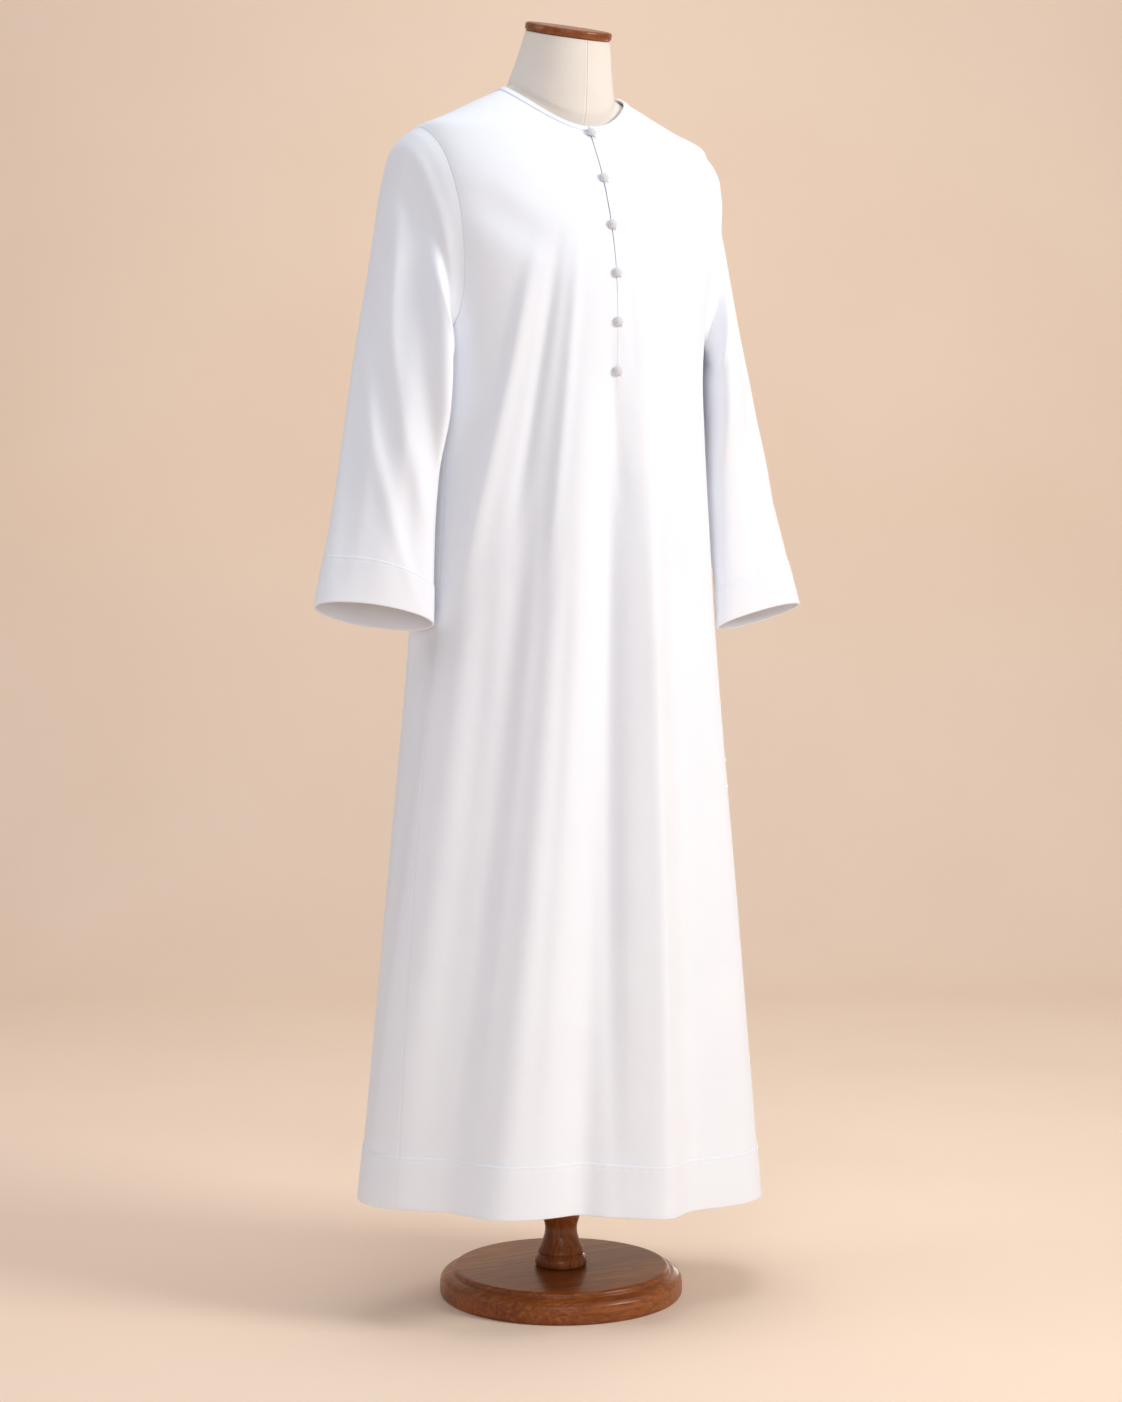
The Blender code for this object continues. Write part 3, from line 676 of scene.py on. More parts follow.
@dataclass(frozen=True)
class RobeBody:
    """The form that the panels, their bands and the binding follow."""

    sections: tuple[Section, ...] = (
        Section(0.100, 0.290, 0.188, 0.132, 2.0),
        Section(0.500, 0.252, 0.176, 0.126, 2.0),
        Section(0.886, 0.214, 0.163, 0.120, 2.0),
        Section(0.978, 0.207, 0.160, 0.120, 2.05),
        Section(1.128, 0.197, 0.156, 0.124, 2.1),
        Section(1.209, 0.194, 0.154, 0.127, 2.1),
        Section(1.273, 0.195, 0.153, 0.129, 2.2),
        Section(1.336, 0.202, 0.149, 0.129, 2.35),
        Section(1.400, 0.210, 0.135, 0.127, 2.5),
        Section(1.464, 0.214, 0.111, 0.120, 2.6),
        Section(1.500, 0.213, 0.091, 0.112, 2.6),
        Section(1.520, 0.208, 0.079, 0.104, 2.6),
        Section(1.542, 0.166, 0.062, 0.096, 2.3),
        Section(1.563, 0.126, 0.047, 0.088, 2.05),
        Section(1.585, 0.084, 0.031, 0.079, 2.0),
        Section(1.620, 0.056, 0.012, 0.064, 2.0),
    )
    folds: tuple[Fold, ...] = (
        Fold(1.340, -52.0, -84.0, 10.0, 0.010),
        Fold(1.320, -34.0, -64.0, 9.0, -0.013),
        Fold(1.380, -14.0, -46.0, 11.0, 0.018),
        Fold(1.350, 2.0, -20.0, 10.0, -0.020),
        Fold(1.370, 16.0, 12.0, 10.0, 0.018),
        Fold(1.320, 34.0, 36.0, 10.0, -0.013),
        Fold(1.280, 52.0, 60.0, 10.0, 0.011),
        Fold(1.220, 100.0, 106.0, 10.0, -0.009),
        Fold(1.260, 128.0, 130.0, 11.0, 0.015),
        Fold(1.300, 152.0, 151.0, 10.0, -0.014),
        Fold(1.330, 176.0, 174.0, 12.0, 0.016),
        Fold(1.290, 201.0, 198.0, 10.0, -0.015),
        Fold(1.270, 226.0, 224.0, 11.0, 0.014),
        Fold(1.220, 252.0, 248.0, 10.0, -0.009),
    )
    creases: tuple[Crease, ...] = (
        Crease(-66.0, 1.440, -24.0, 1.352, 20.0, -4.0, 10.0),
        Crease(-78.0, 1.500, -70.0, 1.400, 9.0, -2.2),
        Crease(-84.0, 1.508, -79.0, 1.430, 6.0, 1.6),
        Crease(72.0, 1.470, 62.0, 1.350, 10.0, -2.4),
        Crease(64.0, 1.410, 40.0, 1.330, 16.0, -2.6, -6.0),
        Crease(150.0, 1.500, 128.0, 1.360, 16.0, -3.4, 8.0),
        Crease(214.0, 1.490, 236.0, 1.350, 15.0, -3.8, -8.0),
        Crease(118.0, 1.470, 122.0, 1.370, 9.0, 1.6),
        Crease(243.0, 1.480, 239.0, 1.360, 9.0, -1.8),
        Crease(-35.0, 1.410, -70.0, 0.860, 12.0, 6.8),
        Crease(-27.0, 1.410, -50.0, 0.960, 11.0, -5.0),
        Crease(-18.0, 1.410, -35.0, 0.900, 10.0, 3.8),
        Crease(-5.0, 1.280, 5.0, 0.980, 10.0, -1.6),
        Crease(22.0, 1.400, 41.0, 1.110, 9.0, -1.2),
        Crease(6.0, 1.370, 10.0, 1.170, 9.0, -0.8),
        Crease(-70.0, 1.020, -86.0, 0.120, 13.0, 4.6, 4.0),
        Crease(-54.0, 1.120, -75.0, 0.020, 15.0, -4.6, -4.0),
        Crease(-34.0, 1.160, -61.0, 0.000, 15.0, 4.8, 3.0),
        Crease(-21.0, 1.150, -43.0, 0.030, 14.0, -4.4),
        Crease(-1.0, 1.200, -6.0, 0.000, 16.0, -5.4, 4.0),
        Crease(13.5, 1.160, 12.5, 0.020, 13.0, 4.4, -3.0),
        Crease(28.0, 1.020, 27.0, 0.520, 13.0, -0.8, 5.0),
        Crease(48.0, 0.900, 50.0, 0.260, 15.0, -1.8, -6.0),
        Crease(196.0, 1.410, 222.0, 0.880, 12.0, 5.0, 3.0),
        Crease(186.0, 1.400, 206.0, 0.960, 11.0, -4.0),
        Crease(167.0, 1.380, 143.0, 0.930, 12.0, 4.4, -3.0),
        Crease(176.0, 1.330, 160.0, 1.000, 10.0, -3.0),
        Crease(128.0, 1.050, 124.0, 0.100, 13.0, -3.4, 4.0),
        Crease(141.0, 1.120, 138.0, 0.020, 14.0, 4.0, 6.0),
        Crease(163.0, 0.980, 159.0, 0.060, 13.0, -3.2, -5.0),
        Crease(188.0, 1.060, 184.0, 0.000, 15.0, 3.6, -5.0),
        Crease(212.0, 1.100, 217.0, 0.020, 13.0, -3.8, 5.0),
        Crease(233.0, 1.020, 236.0, 0.160, 12.0, 3.0, -4.0),
    )
    hem_height: float = 0.140
    hem_slant: float = 0.016
    fold_fade: float = 0.42
    chest_share: float = 0.45
    crease_start: float = 0.30
    crease_stop: float = 0.35
    unroll: float = 0.2

    def folded(self, angle: Array, height: Array) -> Array:
        """How far the long folds push the cloth out.

        Each is a bell across its angle, whose middle moves in step with the fall
        from chest to hem, and which opens over the first stretch and deepens below.

        Args:
            angle: degrees round from the centre front.
            height: metres above the floor.

        Returns:
            Metres outwards.
        """
        total = np.zeros(np.broadcast(angle, height).shape)
        for fold in self.folds:
            fall = (fold.start_height - height) / (fold.start_height - self.hem_height)
            centre = fold.chest_angle + (fold.hem_angle - fold.chest_angle) * np.clip(fall, 0.0, 1.1)
            opened = ease((fold.start_height - height) / self.fold_fade)
            share = self.chest_share + (1.0 - self.chest_share) * np.clip(fall, 0.0, 1.0)
            across = turn_from(angle, centre) / fold.spread
            total = total + fold.depth * opened * share * np.exp(-(across**2))
        return total

    def creased(self, angle: Array, height: Array) -> Array:
        """How far the creases push the cloth out.

        The body is unrolled at one radius. Each crease is a bell across the line
        between its ends, bowed by a parabola, and fades in and out along it.

        Args:
            angle: degrees round from the centre front.
            height: metres above the floor.

        Returns:
            Metres outwards.
        """
        total = np.zeros(np.broadcast(angle, height).shape)
        for crease in self.creases:
            side = np.radians(turn_from(angle, crease.top_angle)) * self.unroll
            rise = height - crease.top_height
            end_side = math.radians(crease.low_angle - crease.top_angle) * self.unroll
            end_rise = crease.low_height - crease.top_height
            length = math.hypot(end_side, end_rise)
            along = (side * end_side + rise * end_rise) / length**2
            off = (side * end_rise - rise * end_side) / length
            off = off - crease.bow * MM * 4.0 * along * (1.0 - along)
            window = ease(along / self.crease_start) * ease((1.0 - along) / self.crease_stop)
            total = total + crease.depth * MM * window * np.exp(-((off / (crease.half_width * MM)) ** 2))
        return total

    def radius(self, angle: Array, height: Array, dressed: bool = True) -> Array:
        """Distance of the cloth's outside from the column's axis.

        A section is a rounded rectangle: the sum of its two shares, each raised to
        the squareness, is 1. Folds and creases add to its radius.

        Args:
            angle: degrees round from the centre front.
            height: metres above the floor.
            dressed: with folds and creases.

        Returns:
            Metres.
        """
        turn = np.radians(angle)
        power = curve(self.sections, "height", "squareness", height)
        front = curve(self.sections, "height", "front", height)
        back = curve(self.sections, "height", "back", height)
        depth = np.where(np.cos(turn) > 0.0, front, back)
        across = np.abs(np.sin(turn) / curve(self.sections, "height", "half_width", height)) ** power
        radius = (across + np.abs(np.cos(turn) / depth) ** power) ** (-1.0 / power)
        if dressed:
            radius = radius + self.folded(angle, height) + self.creased(angle, height)
        return radius

    def point(self, angle: Array, height: Array, dressed: bool = True) -> Array:
        """Points on the outside.

        Args:
            angle: degrees round from the centre front.
            height: metres above the floor.
            dressed: with folds and creases.

        Returns:
            Points by 3.
        """
        angle, height = np.broadcast_arrays(np.asarray(angle, float), np.asarray(height, float))
        radius = self.radius(angle, height, dressed)
        turn = np.radians(angle)
        return np.stack((radius * np.sin(turn), -radius * np.cos(turn), height), axis=-1)

    def normal(self, angle: Array, height: Array, dressed: bool = True) -> Array:
        """Outward unit normals: the cross product of the steps between near points.

        Args:
            angle: degrees round from the centre front.
            height: metres above the floor.
            dressed: with folds and creases.

        Returns:
            Normals by 3.
        """
        turn, rise = 0.4, 1.0 * MM
        round_way = self.point(angle + turn, height, dressed) - self.point(angle - turn, height, dressed)
        up_way = self.point(angle, height + rise, dressed) - self.point(angle, height - rise, dressed)
        return unit(np.cross(round_way, up_way))

    def offset(self, angle: Array, height: Array, distance: Array, dressed: bool = True) -> Array:
        """Points at a distance out from the outside, along its normals."""
        distance = np.asarray(distance, dtype=float)[..., None]
        return self.point(angle, height, dressed) + distance * self.normal(angle, height, dressed)

    def hem(self, angle: Array) -> Array:
        """Height of the hem, which hangs a little lower towards the left side."""
        return self.hem_height - self.hem_slant * np.sin(np.radians(angle))

    def down(self, angle: Array, height: Array, distance: Array) -> Array:
        """The height that lies a distance down the cloth from a place on it.

        Args:
            angle: degrees round from the centre front.
            height: the place's height.
            distance: metres along the plain cloth, whose slope there is kept.

        Returns:
            Metres above the floor.
        """
        step = 2.0 * MM
        way = self.point(angle, height, False) - self.point(angle, height - step, False)
        return height - distance * step / np.linalg.norm(way, axis=-1)


@dataclass(frozen=True)
class Edges:
    """Where the robe's cut edges lie on its body."""

    neck_point: float = 1.585
    front_neck: float = 1.528
    back_neck: float = 1.589
    shoulder_point: float = 1.520
    underarm: float = 1.262
    side_seam: float = 76.0
    shoulder_seam: float = 90.0
    front_reach: float = 17.0
    back_reach: float = 28.0
    neck_curve: float = 1.3
    slit_end: float = 1.186
    slit_shut: float = 0.05 * MM
    slit_open: float = 0.65 * MM
    slit_curve: float = 1.1

    def neck(self, angle: Array) -> Array:
        """Height of the neckline: a power of the cosine in front, a cosine at the back.

        Args:
            angle: degrees round from the centre front.

        Returns:
            Metres above the floor.
        """
        cosine = np.cos(np.radians(angle))
        fall = self.neck_point - self.front_neck
        front = self.front_neck + fall * (1.0 - np.maximum(cosine, 0.0) ** self.neck_curve)
        back = self.neck_point - (self.back_neck - self.neck_point) * cosine
        return np.where(cosine > 0.0, front, back)

    def armhole(self, turn: Array, reach: float) -> tuple[Array, Array]:
        """The armhole's edge: half an ellipse bent round the body.

        Args:
            turn: degrees, 0 at the shoulder and 180 at the underarm.
            reach: degrees that it cuts into the panel, signed.

        Returns:
            Its angle round the body, and its height.
        """
        turn = np.asarray(turn, dtype=float)
        base = self.shoulder_seam + (self.side_seam - self.shoulder_seam) * turn / 180.0
        middle = (self.shoulder_point + self.underarm) / 2.0
        rise = (self.shoulder_point - self.underarm) / 2.0
        return base + reach * np.sin(np.radians(turn)), middle + rise * np.cos(np.radians(turn))

    def slit_half(self, height: Array) -> Array:
        """Half the slit's width, which narrows down to its end."""
        share = (height - self.slit_end) / (self.front_neck - self.slit_end)
        return self.slit_shut + self.slit_open * np.clip(share, 0.0, 1.0) ** self.slit_curve


# Distances from a sewn edge where the cloth gets a column or row of its own.
EDGE_STEPS = (0.45 * MM, 1.0 * MM, 1.8 * MM, 3.0 * MM)


def rolled(distance: Array, depth: float = 0.35 * MM, width: float = 1.2 * MM) -> Array:
    """How far a sewn edge turns in, as a bell of the distance from the seam."""
    return -depth * np.exp(-((distance / width) ** 2))


def with_edge(grid: Array, steps: list[Array], end: int) -> tuple[Array, Array]:
    """Add columns close beside one of a grid's outer columns.

    Args:
        grid: rows by columns by any number of values, which are mixed in step with
            the distance.
        steps: shares of the way from the edge to the next column, per step and row.
        end: 0 for the first column, -1 for the last.

    Returns:
        The grid, and for each of its columns the number of its step or -1.
    """
    edge, after = (0, 1) if end == 0 else (-1, -2)
    new = [grid[:, edge] + (grid[:, after] - grid[:, edge]) * share[:, None] for share in steps]
    numbers = np.arange(len(steps) + 1)
    plain = np.full(grid.shape[1] - 1, -1)
    if end == 0:
        grid = np.concatenate((grid[:, :1], np.stack(new, axis=1), grid[:, 1:]), axis=1)
        return grid, np.concatenate((numbers, plain))
    grid = np.concatenate((grid[:, :-1], np.stack(new[::-1], axis=1), grid[:, -1:]), axis=1)
    return grid, np.concatenate((plain, numbers[::-1]))


@dataclass
class Panels:
    """The front panel with its slit, and the back panel: cotton, sewn at shoulders and sides."""

    body: RobeBody
    edges: Edges
    finishes: Finishes
    wall: float = 0.9 * MM
    front_neck_columns: int = 84
    back_neck_columns: int = 60
    shoulder_columns: int = 26
    yoke_rows: int = 52
    slit_rows: int = 12
    skirt_rows: int = 150
    edge_pull: float = 1.5
    slit_fade: float = 1.24
    slit_fade_over: float = 0.14
    seam_half: float = 0.01 * MM

    def grid(self, middle: float, neck_columns: int, reach: float) -> Array:
        """Angles and heights of a whole panel, from its neck and shoulders to its hem.

        Above the underarm each row is blended in space between the top edge and the
        level line at the underarm, and drawn to the armholes at its ends. Below, the
        rows fall evenly to the hem.

        Args:
            middle: angle of the panel's middle.
            neck_columns: columns along its neckline.
            reach: degrees that the armhole cuts into it, signed.

        Returns:
            Rows by columns by 2.
        """
        edges, body = self.edges, self.body
        swing = abs(edges.shoulder_seam - middle)
        neck_angle = middle + np.linspace(-swing, swing, neck_columns + 1)
        over = np.linspace(0.0, 1.0, self.shoulder_columns + 1)[1:]
        seam = edges.neck_point + (edges.shoulder_point - edges.neck_point) * over
        side = np.full(self.shoulder_columns, swing)
        top_angle = np.concatenate((middle - side, neck_angle, middle + side))
        top_height = np.concatenate((seam[::-1], edges.neck(neck_angle), seam))
        share = np.linspace(-1.0, 1.0, len(top_angle))
        low_angle = middle + share * abs(edges.side_seam - middle)
        top, low = body.point(top_angle, top_height), body.point(low_angle, edges.underarm)
        down = np.linspace(0.0, 1.0, self.yoke_rows + 1)[:, None, None]
        angle, height = edges.armhole(180.0 * down[:, 0, 0], reach)
        one = body.point(angle, height)[:, None]
        other = one * np.array((-1.0, 1.0, 1.0))
        ends = (other, one) if angle[0] > middle else (one, other)
        row = (1.0 - down) * top + down * low
        pulls = [((1.0 + way * share[:, None]) / 2.0) ** self.edge_pull for way in (-1.0, 1.0)]
        space = row + (ends[0] - row[:, :1]) * pulls[0] + (ends[1] - row[:, -1:]) * pulls[1]
        yoke_angle = middle + turn_from(np.degrees(np.arctan2(space[..., 0], -space[..., 1])), middle)
        yoke_angle[0], yoke_height = top_angle, space[..., 2]
        levels = np.linspace(edges.underarm, edges.slit_end, self.slit_rows + 1)[1:, None]
        fall = np.linspace(0.0, 1.0, self.skirt_rows + 1)[1:, None]
        skirt = edges.slit_end + (body.hem(low_angle) - edges.slit_end) * fall
        heights = np.concatenate((yoke_height, levels + 0.0 * low_angle, skirt))
        below = np.broadcast_to(low_angle, (len(heights) - len(space), len(low_angle)))
        angles = np.concatenate((yoke_angle, below))
        half = np.degrees(self.seam_half / body.radius(angles, heights, False))
        angles = angles - half * (angles - middle) / abs(angles[:, :1] - middle)
        return np.stack((angles, heights), axis=-1)

    def sewn(self, grid: Array, ends: tuple[int, ...], slit_end: int | None = None) -> Array:
        """Points of a panel whose sewn edges turn in.

        Args:
            grid: angles and heights.
            ends: the side edges that are sewn.
            slit_end: 0 or -1 where that side edge is the slit's, or None.

        Returns:
            Rows by columns by 3.
        """
        dip = np.zeros(grid.shape[:2])
        for end in ends:
            edge, after = (0, 1) if end == 0 else (-1, -2)
            steps = self.step_shares(grid[:, edge], grid[:, after])
            pair = np.concatenate((grid, dip[..., None]), axis=-1)
            pair, marks = with_edge(pair, steps, end)
            grid, dip = pair[..., :2], pair[..., 2]
            depth = rolled(np.array((0.0, *EDGE_STEPS)))
            fade = ease((grid[..., 1] - self.slit_fade) / self.slit_fade_over) if slit_end == end else 1.0
            add = np.where(marks >= 0, depth[np.maximum(marks, 0)], 0.0)[None, :] * fade
            dip = dip + add
        return self.body.offset(grid[..., 0], grid[..., 1], dip)

    def step_shares(self, edge: Array, after: Array) -> list[Array]:
        """The close steps beside an edge, as shares of the way to the next column or row.

        Args:
            edge: angles and heights along the edge.
            after: those next to it.

        Returns:
            The shares for each step, all along the edge.
        """
        gap = self.body.point(*np.moveaxis(after, -1, 0)) - self.body.point(*np.moveaxis(edge, -1, 0))
        length = np.linalg.norm(gap, axis=-1)
        return [np.minimum(step / length, 0.2 * (k + 1)) for k, step in enumerate(EDGE_STEPS)]

    def with_shoulder_rows(self, grid: Array) -> tuple[Array, Array]:
        """Add rows close under a panel's top edge, and say how far each turns in.

        Args:
            grid: angles and heights.

        Returns:
            The grid, and the turn for its first rows.
        """
        shares = self.step_shares(grid[0], grid[1])
        new = [grid[0] + (grid[1] - grid[0]) * share[:, None] for share in shares]
        return np.concatenate((grid[:1], np.stack(new), grid[1:])), rolled(np.array((0.0, *EDGE_STEPS)))

    def make(self) -> Pieces:
        """Build both panels.

        Returns:
            The pieces by name.
        """
        edges, body = self.edges, self.body
        made = {}
        back = self.grid(180.0, self.back_neck_columns, edges.back_reach)
        front = self.grid(0.0, self.front_neck_columns, -edges.front_reach)
        halves = []
        middle = front.shape[1] // 2
        for side, part, slit in ((-1.0, front[:, : middle + 1], -1), (1.0, front[:, middle:], 0)):
            half, turn_in = self.with_shoulder_rows(part)
            points = self.sewn(half, (0, -1), slit)
            points = self.turn_top(points, turn_in)
            open_rows = points[:, slit, 2] > edges.slit_end + 0.001
            points[:, slit, 0] = np.where(open_rows, side * edges.slit_half(points[:, slit, 2]), 0.0)
            flat = flat_map(points, -1 if side < 0.0 else 0, self.yoke_rows)
            halves.append(Patch(points, flat))
        made["front_panel"] = build("robe_front_panel", halves, self.finishes.cotton, weld=True)
        half, turn_in = self.with_shoulder_rows(back)
        points = self.turn_top(self.sewn(half, (0, -1)), turn_in)
        flat = flat_map(points, points.shape[1] // 2, self.yoke_rows)
        made["back_panel"] = build("robe_back_panel", [Patch(points, flat)], self.finishes.cotton)
        for node, thing in made.items():
            thicken(thing, self.wall)
            finish_piece(thing, "white_cotton", node)
        return made

    def turn_top(self, points: Array, turn_in: Array) -> Array:
        """Turn in the rows under the top edge, along the cloth's own normals.

        Args:
            points: rows by columns by 3.
            turn_in: metres for each of the first rows.

        Returns:
            Rows by columns by 3.
        """
        depth = np.zeros(points.shape[0])
        depth[: len(turn_in)] = turn_in
        normals = unit(np.cross(np.gradient(points, axis=0), np.gradient(points, axis=1)))
        return points + normals * depth[:, None, None]


@dataclass
class FoldedStrip:
    """A strip folded round a cloth's edge: its section in mm, reach down the cloth and out from it."""

    width: float
    out: float = 1.15
    inside: float = 1.95
    wall: float = 0.9
    lip: float = 0.7
    steps: int = 12

    def section(self) -> Array:
        """The strip's closed section.

        It goes down the outer face from the fold, back up against the cloth, over
        its edge, down the inner side against the cloth and back up the inner face.

        Returns:
            Points by 2: the reach down the cloth, and the distance out from its outside.
        """
        w, o, i = self.width, self.out, self.inside
        run = np.linspace(0.0, 1.0, self.steps)
        outer = np.stack((0.6 + (w - 1.2) * run, np.full(self.steps, o)), axis=-1)
        hem = np.array(((w - 0.25, o - 0.12), (w, o - 0.45), (w - 0.05, 0.12)))
        under = np.stack((w - 0.6 - (w - 0.9) * run, np.full(self.steps, 0.06)), axis=-1)
        over = np.array(((-0.10, 0.0), (-0.14, -self.wall / 2.0), (-0.10, -self.wall)))
        within = np.stack((0.3 + (w - 1.6) * run, np.full(self.steps, -self.wall - 0.06)), axis=-1)
        tip = np.array(((w - 1.0, -self.wall - 0.25), (w - 1.0, -i + 0.3), (w - 1.2, -i)))
        inner = np.stack((w - 1.8 - (w - 2.4) * run, np.full(self.steps, -i)), axis=-1)
        fold = np.array(((0.0, -i + 0.1), (-self.lip, -i + 0.7), (-self.lip, o - 0.7), (0.0, o - 0.1)))
        return np.concatenate((outer, hem, under, over, within, tip, inner, fold)) * MM


@dataclass(frozen=True)
class StitchRow:
    """How a row of stitches draws a folded band in: a groove, and faint puckers beside it."""

    groove_depth: float = 0.45 * MM
    groove_width: float = 1.1 * MM
    pucker_depth: float = 0.16 * MM
    pucker_reach: float = 5.0 * MM
    outer_face: float = 0.5 * MM

    def drawn(self, up: Array, out: Array, row: float, waves: Array) -> Array:
        """A band's distance out, less a narrow bell along the row, with waves in a wider one.

        Args:
            up: distances up from the fold, points by 1.
            out: distances out, by point; only those of the outer face change.
            row: the row's distance up in mm.
            waves: the puckers along the band, from -1 to 1.

        Returns:
            Points by columns.
        """
        near = np.exp(-(((up - row * MM) / self.pucker_reach) ** 2))
        groove = self.groove_depth * np.exp(-(((up - row * MM) / self.groove_width) ** 2))
        face = np.where(out > self.outer_face, 1.0, 0.0)[:, None]
        return out[:, None] + face * (near * self.pucker_depth * waves[None, :] - groove)


@dataclass
class Bands:
    """The hem bands on both panels, folded round the hem and sewn along the top."""

    body: RobeBody
    edges: Edges
    finishes: Finishes
    width: float = 66.0
    stitch_row: float = 63.2
    puckers: float = 96.0
    columns: int = 220

    def angles(self, node: str) -> Array:
        """The band's angles from one side seam to the other.

        Args:
            node: which band.

        Returns:
            Even angles, with close pairs at the ends that keep them crisp.
        """
        seam = self.edges.side_seam
        start, stop = (-seam, seam) if node.endswith("front") else (seam, 360.0 - seam)
        between = np.linspace(start + 0.06, stop - 0.06, self.columns - 2)
        return np.concatenate(([start + 0.012], between, [stop - 0.012]))

    def make(self) -> Pieces:
        """Build both bands.

        Returns:
            The pieces by name.
        """
        reach, out = FoldedStrip(self.width, steps=26).section().T
        up = reach[:, None]
        made = {}
        for node in ("hem_band_front", "hem_band_back"):
            angle = self.angles(node)
            turn = np.radians(angle)
            waves = np.sin(turn * self.puckers + 1.7 * np.sin(turn * 9.0))
            distance = StitchRow().drawn(up, out, self.stitch_row, waves)
            height = self.body.hem(angle)[None, :] + up
            points = self.body.offset(angle[None, :] + 0.0 * up, height, distance)
            flat = np.stack((run_length(points, 1), np.broadcast_to(up, points.shape[:2])), axis=-1)
            flat = np.concatenate((flat, flat[:1]), axis=0)
            patch = Patch(points, flat, round_rows=True, flipped=True, capped=True)
            made[node] = build("robe_" + node, [patch], self.finishes.cotton)
            finish_piece(made[node], "white_cotton", node)
        return made


@dataclass
class Binding:
    """The narrow binding round the neckline, folded over its edge and sewn twice."""

    body: RobeBody
    edges: Edges
    finishes: Finishes
    width: float = 8.0
    stitch_rows: tuple[float, ...] = (1.7, 6.5)
    groove_depth: float = 0.28 * MM
    groove_width: float = 0.9 * MM
    neck_radius: float = 78.0 * MM
    columns: int = 300

    def angles(self) -> Array:
        """Angles from the slit's left edge right round to its right edge."""
        half = math.degrees(float(self.edges.slit_half(self.edges.front_neck)) / self.neck_radius)
        return np.linspace(half, 360.0 - half, self.columns)

    def make(self) -> Pieces:
        """Build the binding.

        Returns:
            The piece by name.
        """
        reach, out = FoldedStrip(self.width, out=1.3, inside=1.8).section().T
        angle = self.angles()
        edge = self.edges.neck(angle)
        height = self.body.down(angle[None, :], edge[None, :], reach[:, None])
        rows = (np.exp(-(((reach - row * MM) / self.groove_width) ** 2)) for row in self.stitch_rows)
        out = np.where(out > 0.5 * MM, out - self.groove_depth * sum(rows), out)
        points = self.body.offset(angle[None, :] + 0.0 * height, height, out[:, None] + 0.0 * height)
        flat = np.stack((run_length(points, 1), np.broadcast_to(reach[:, None], points.shape[:2])), axis=-1)
        flat = np.concatenate((flat, flat[:1]), axis=0)
        patch = Patch(points, flat, round_rows=True, capped=True)
        thing = build("robe_neck_binding", [patch], self.finishes.cotton)
        finish_piece(thing, "white_cotton", "neck_binding")
        return {"neck_binding": thing}


# --- sleeves ----------------------------------------------------------------------


class Side(Enum):
    """A side of the wearer, with its sign along X."""

    LEFT = 1.0
    RIGHT = -1.0


@dataclass(frozen=True)
class Ring:
    """A ring down a sleeve: the ends of its long axis, half its thickness and its pitch."""

    station: float
    outer_side: float
    outer_forward: float
    outer_height: float
    inner_side: float
    inner_forward: float
    inner_height: float
    half_thick: float
    pitch: float


@dataclass(frozen=True)
class SleeveFold:
    """A fold down a sleeve: 0 is its outer edge, 90 its front, 180 the underarm."""

    top: float
    bottom: float
    top_angle: float
    bottom_angle: float
    spread: float
    depth: float
    side: Side | None = None


@dataclass(frozen=True)
class Puff:
    """A raised ring round a sleeve's head: its rise, distance from the seam and half width, in mm."""

    rise: float
    away: float
    width: float

    def height(self, away: Array) -> Array:
        """Metres out at distances from the seam: a bell across the ring."""
        return self.rise * MM * np.exp(-(((away - self.away * MM) / (self.width * MM)) ** 2))


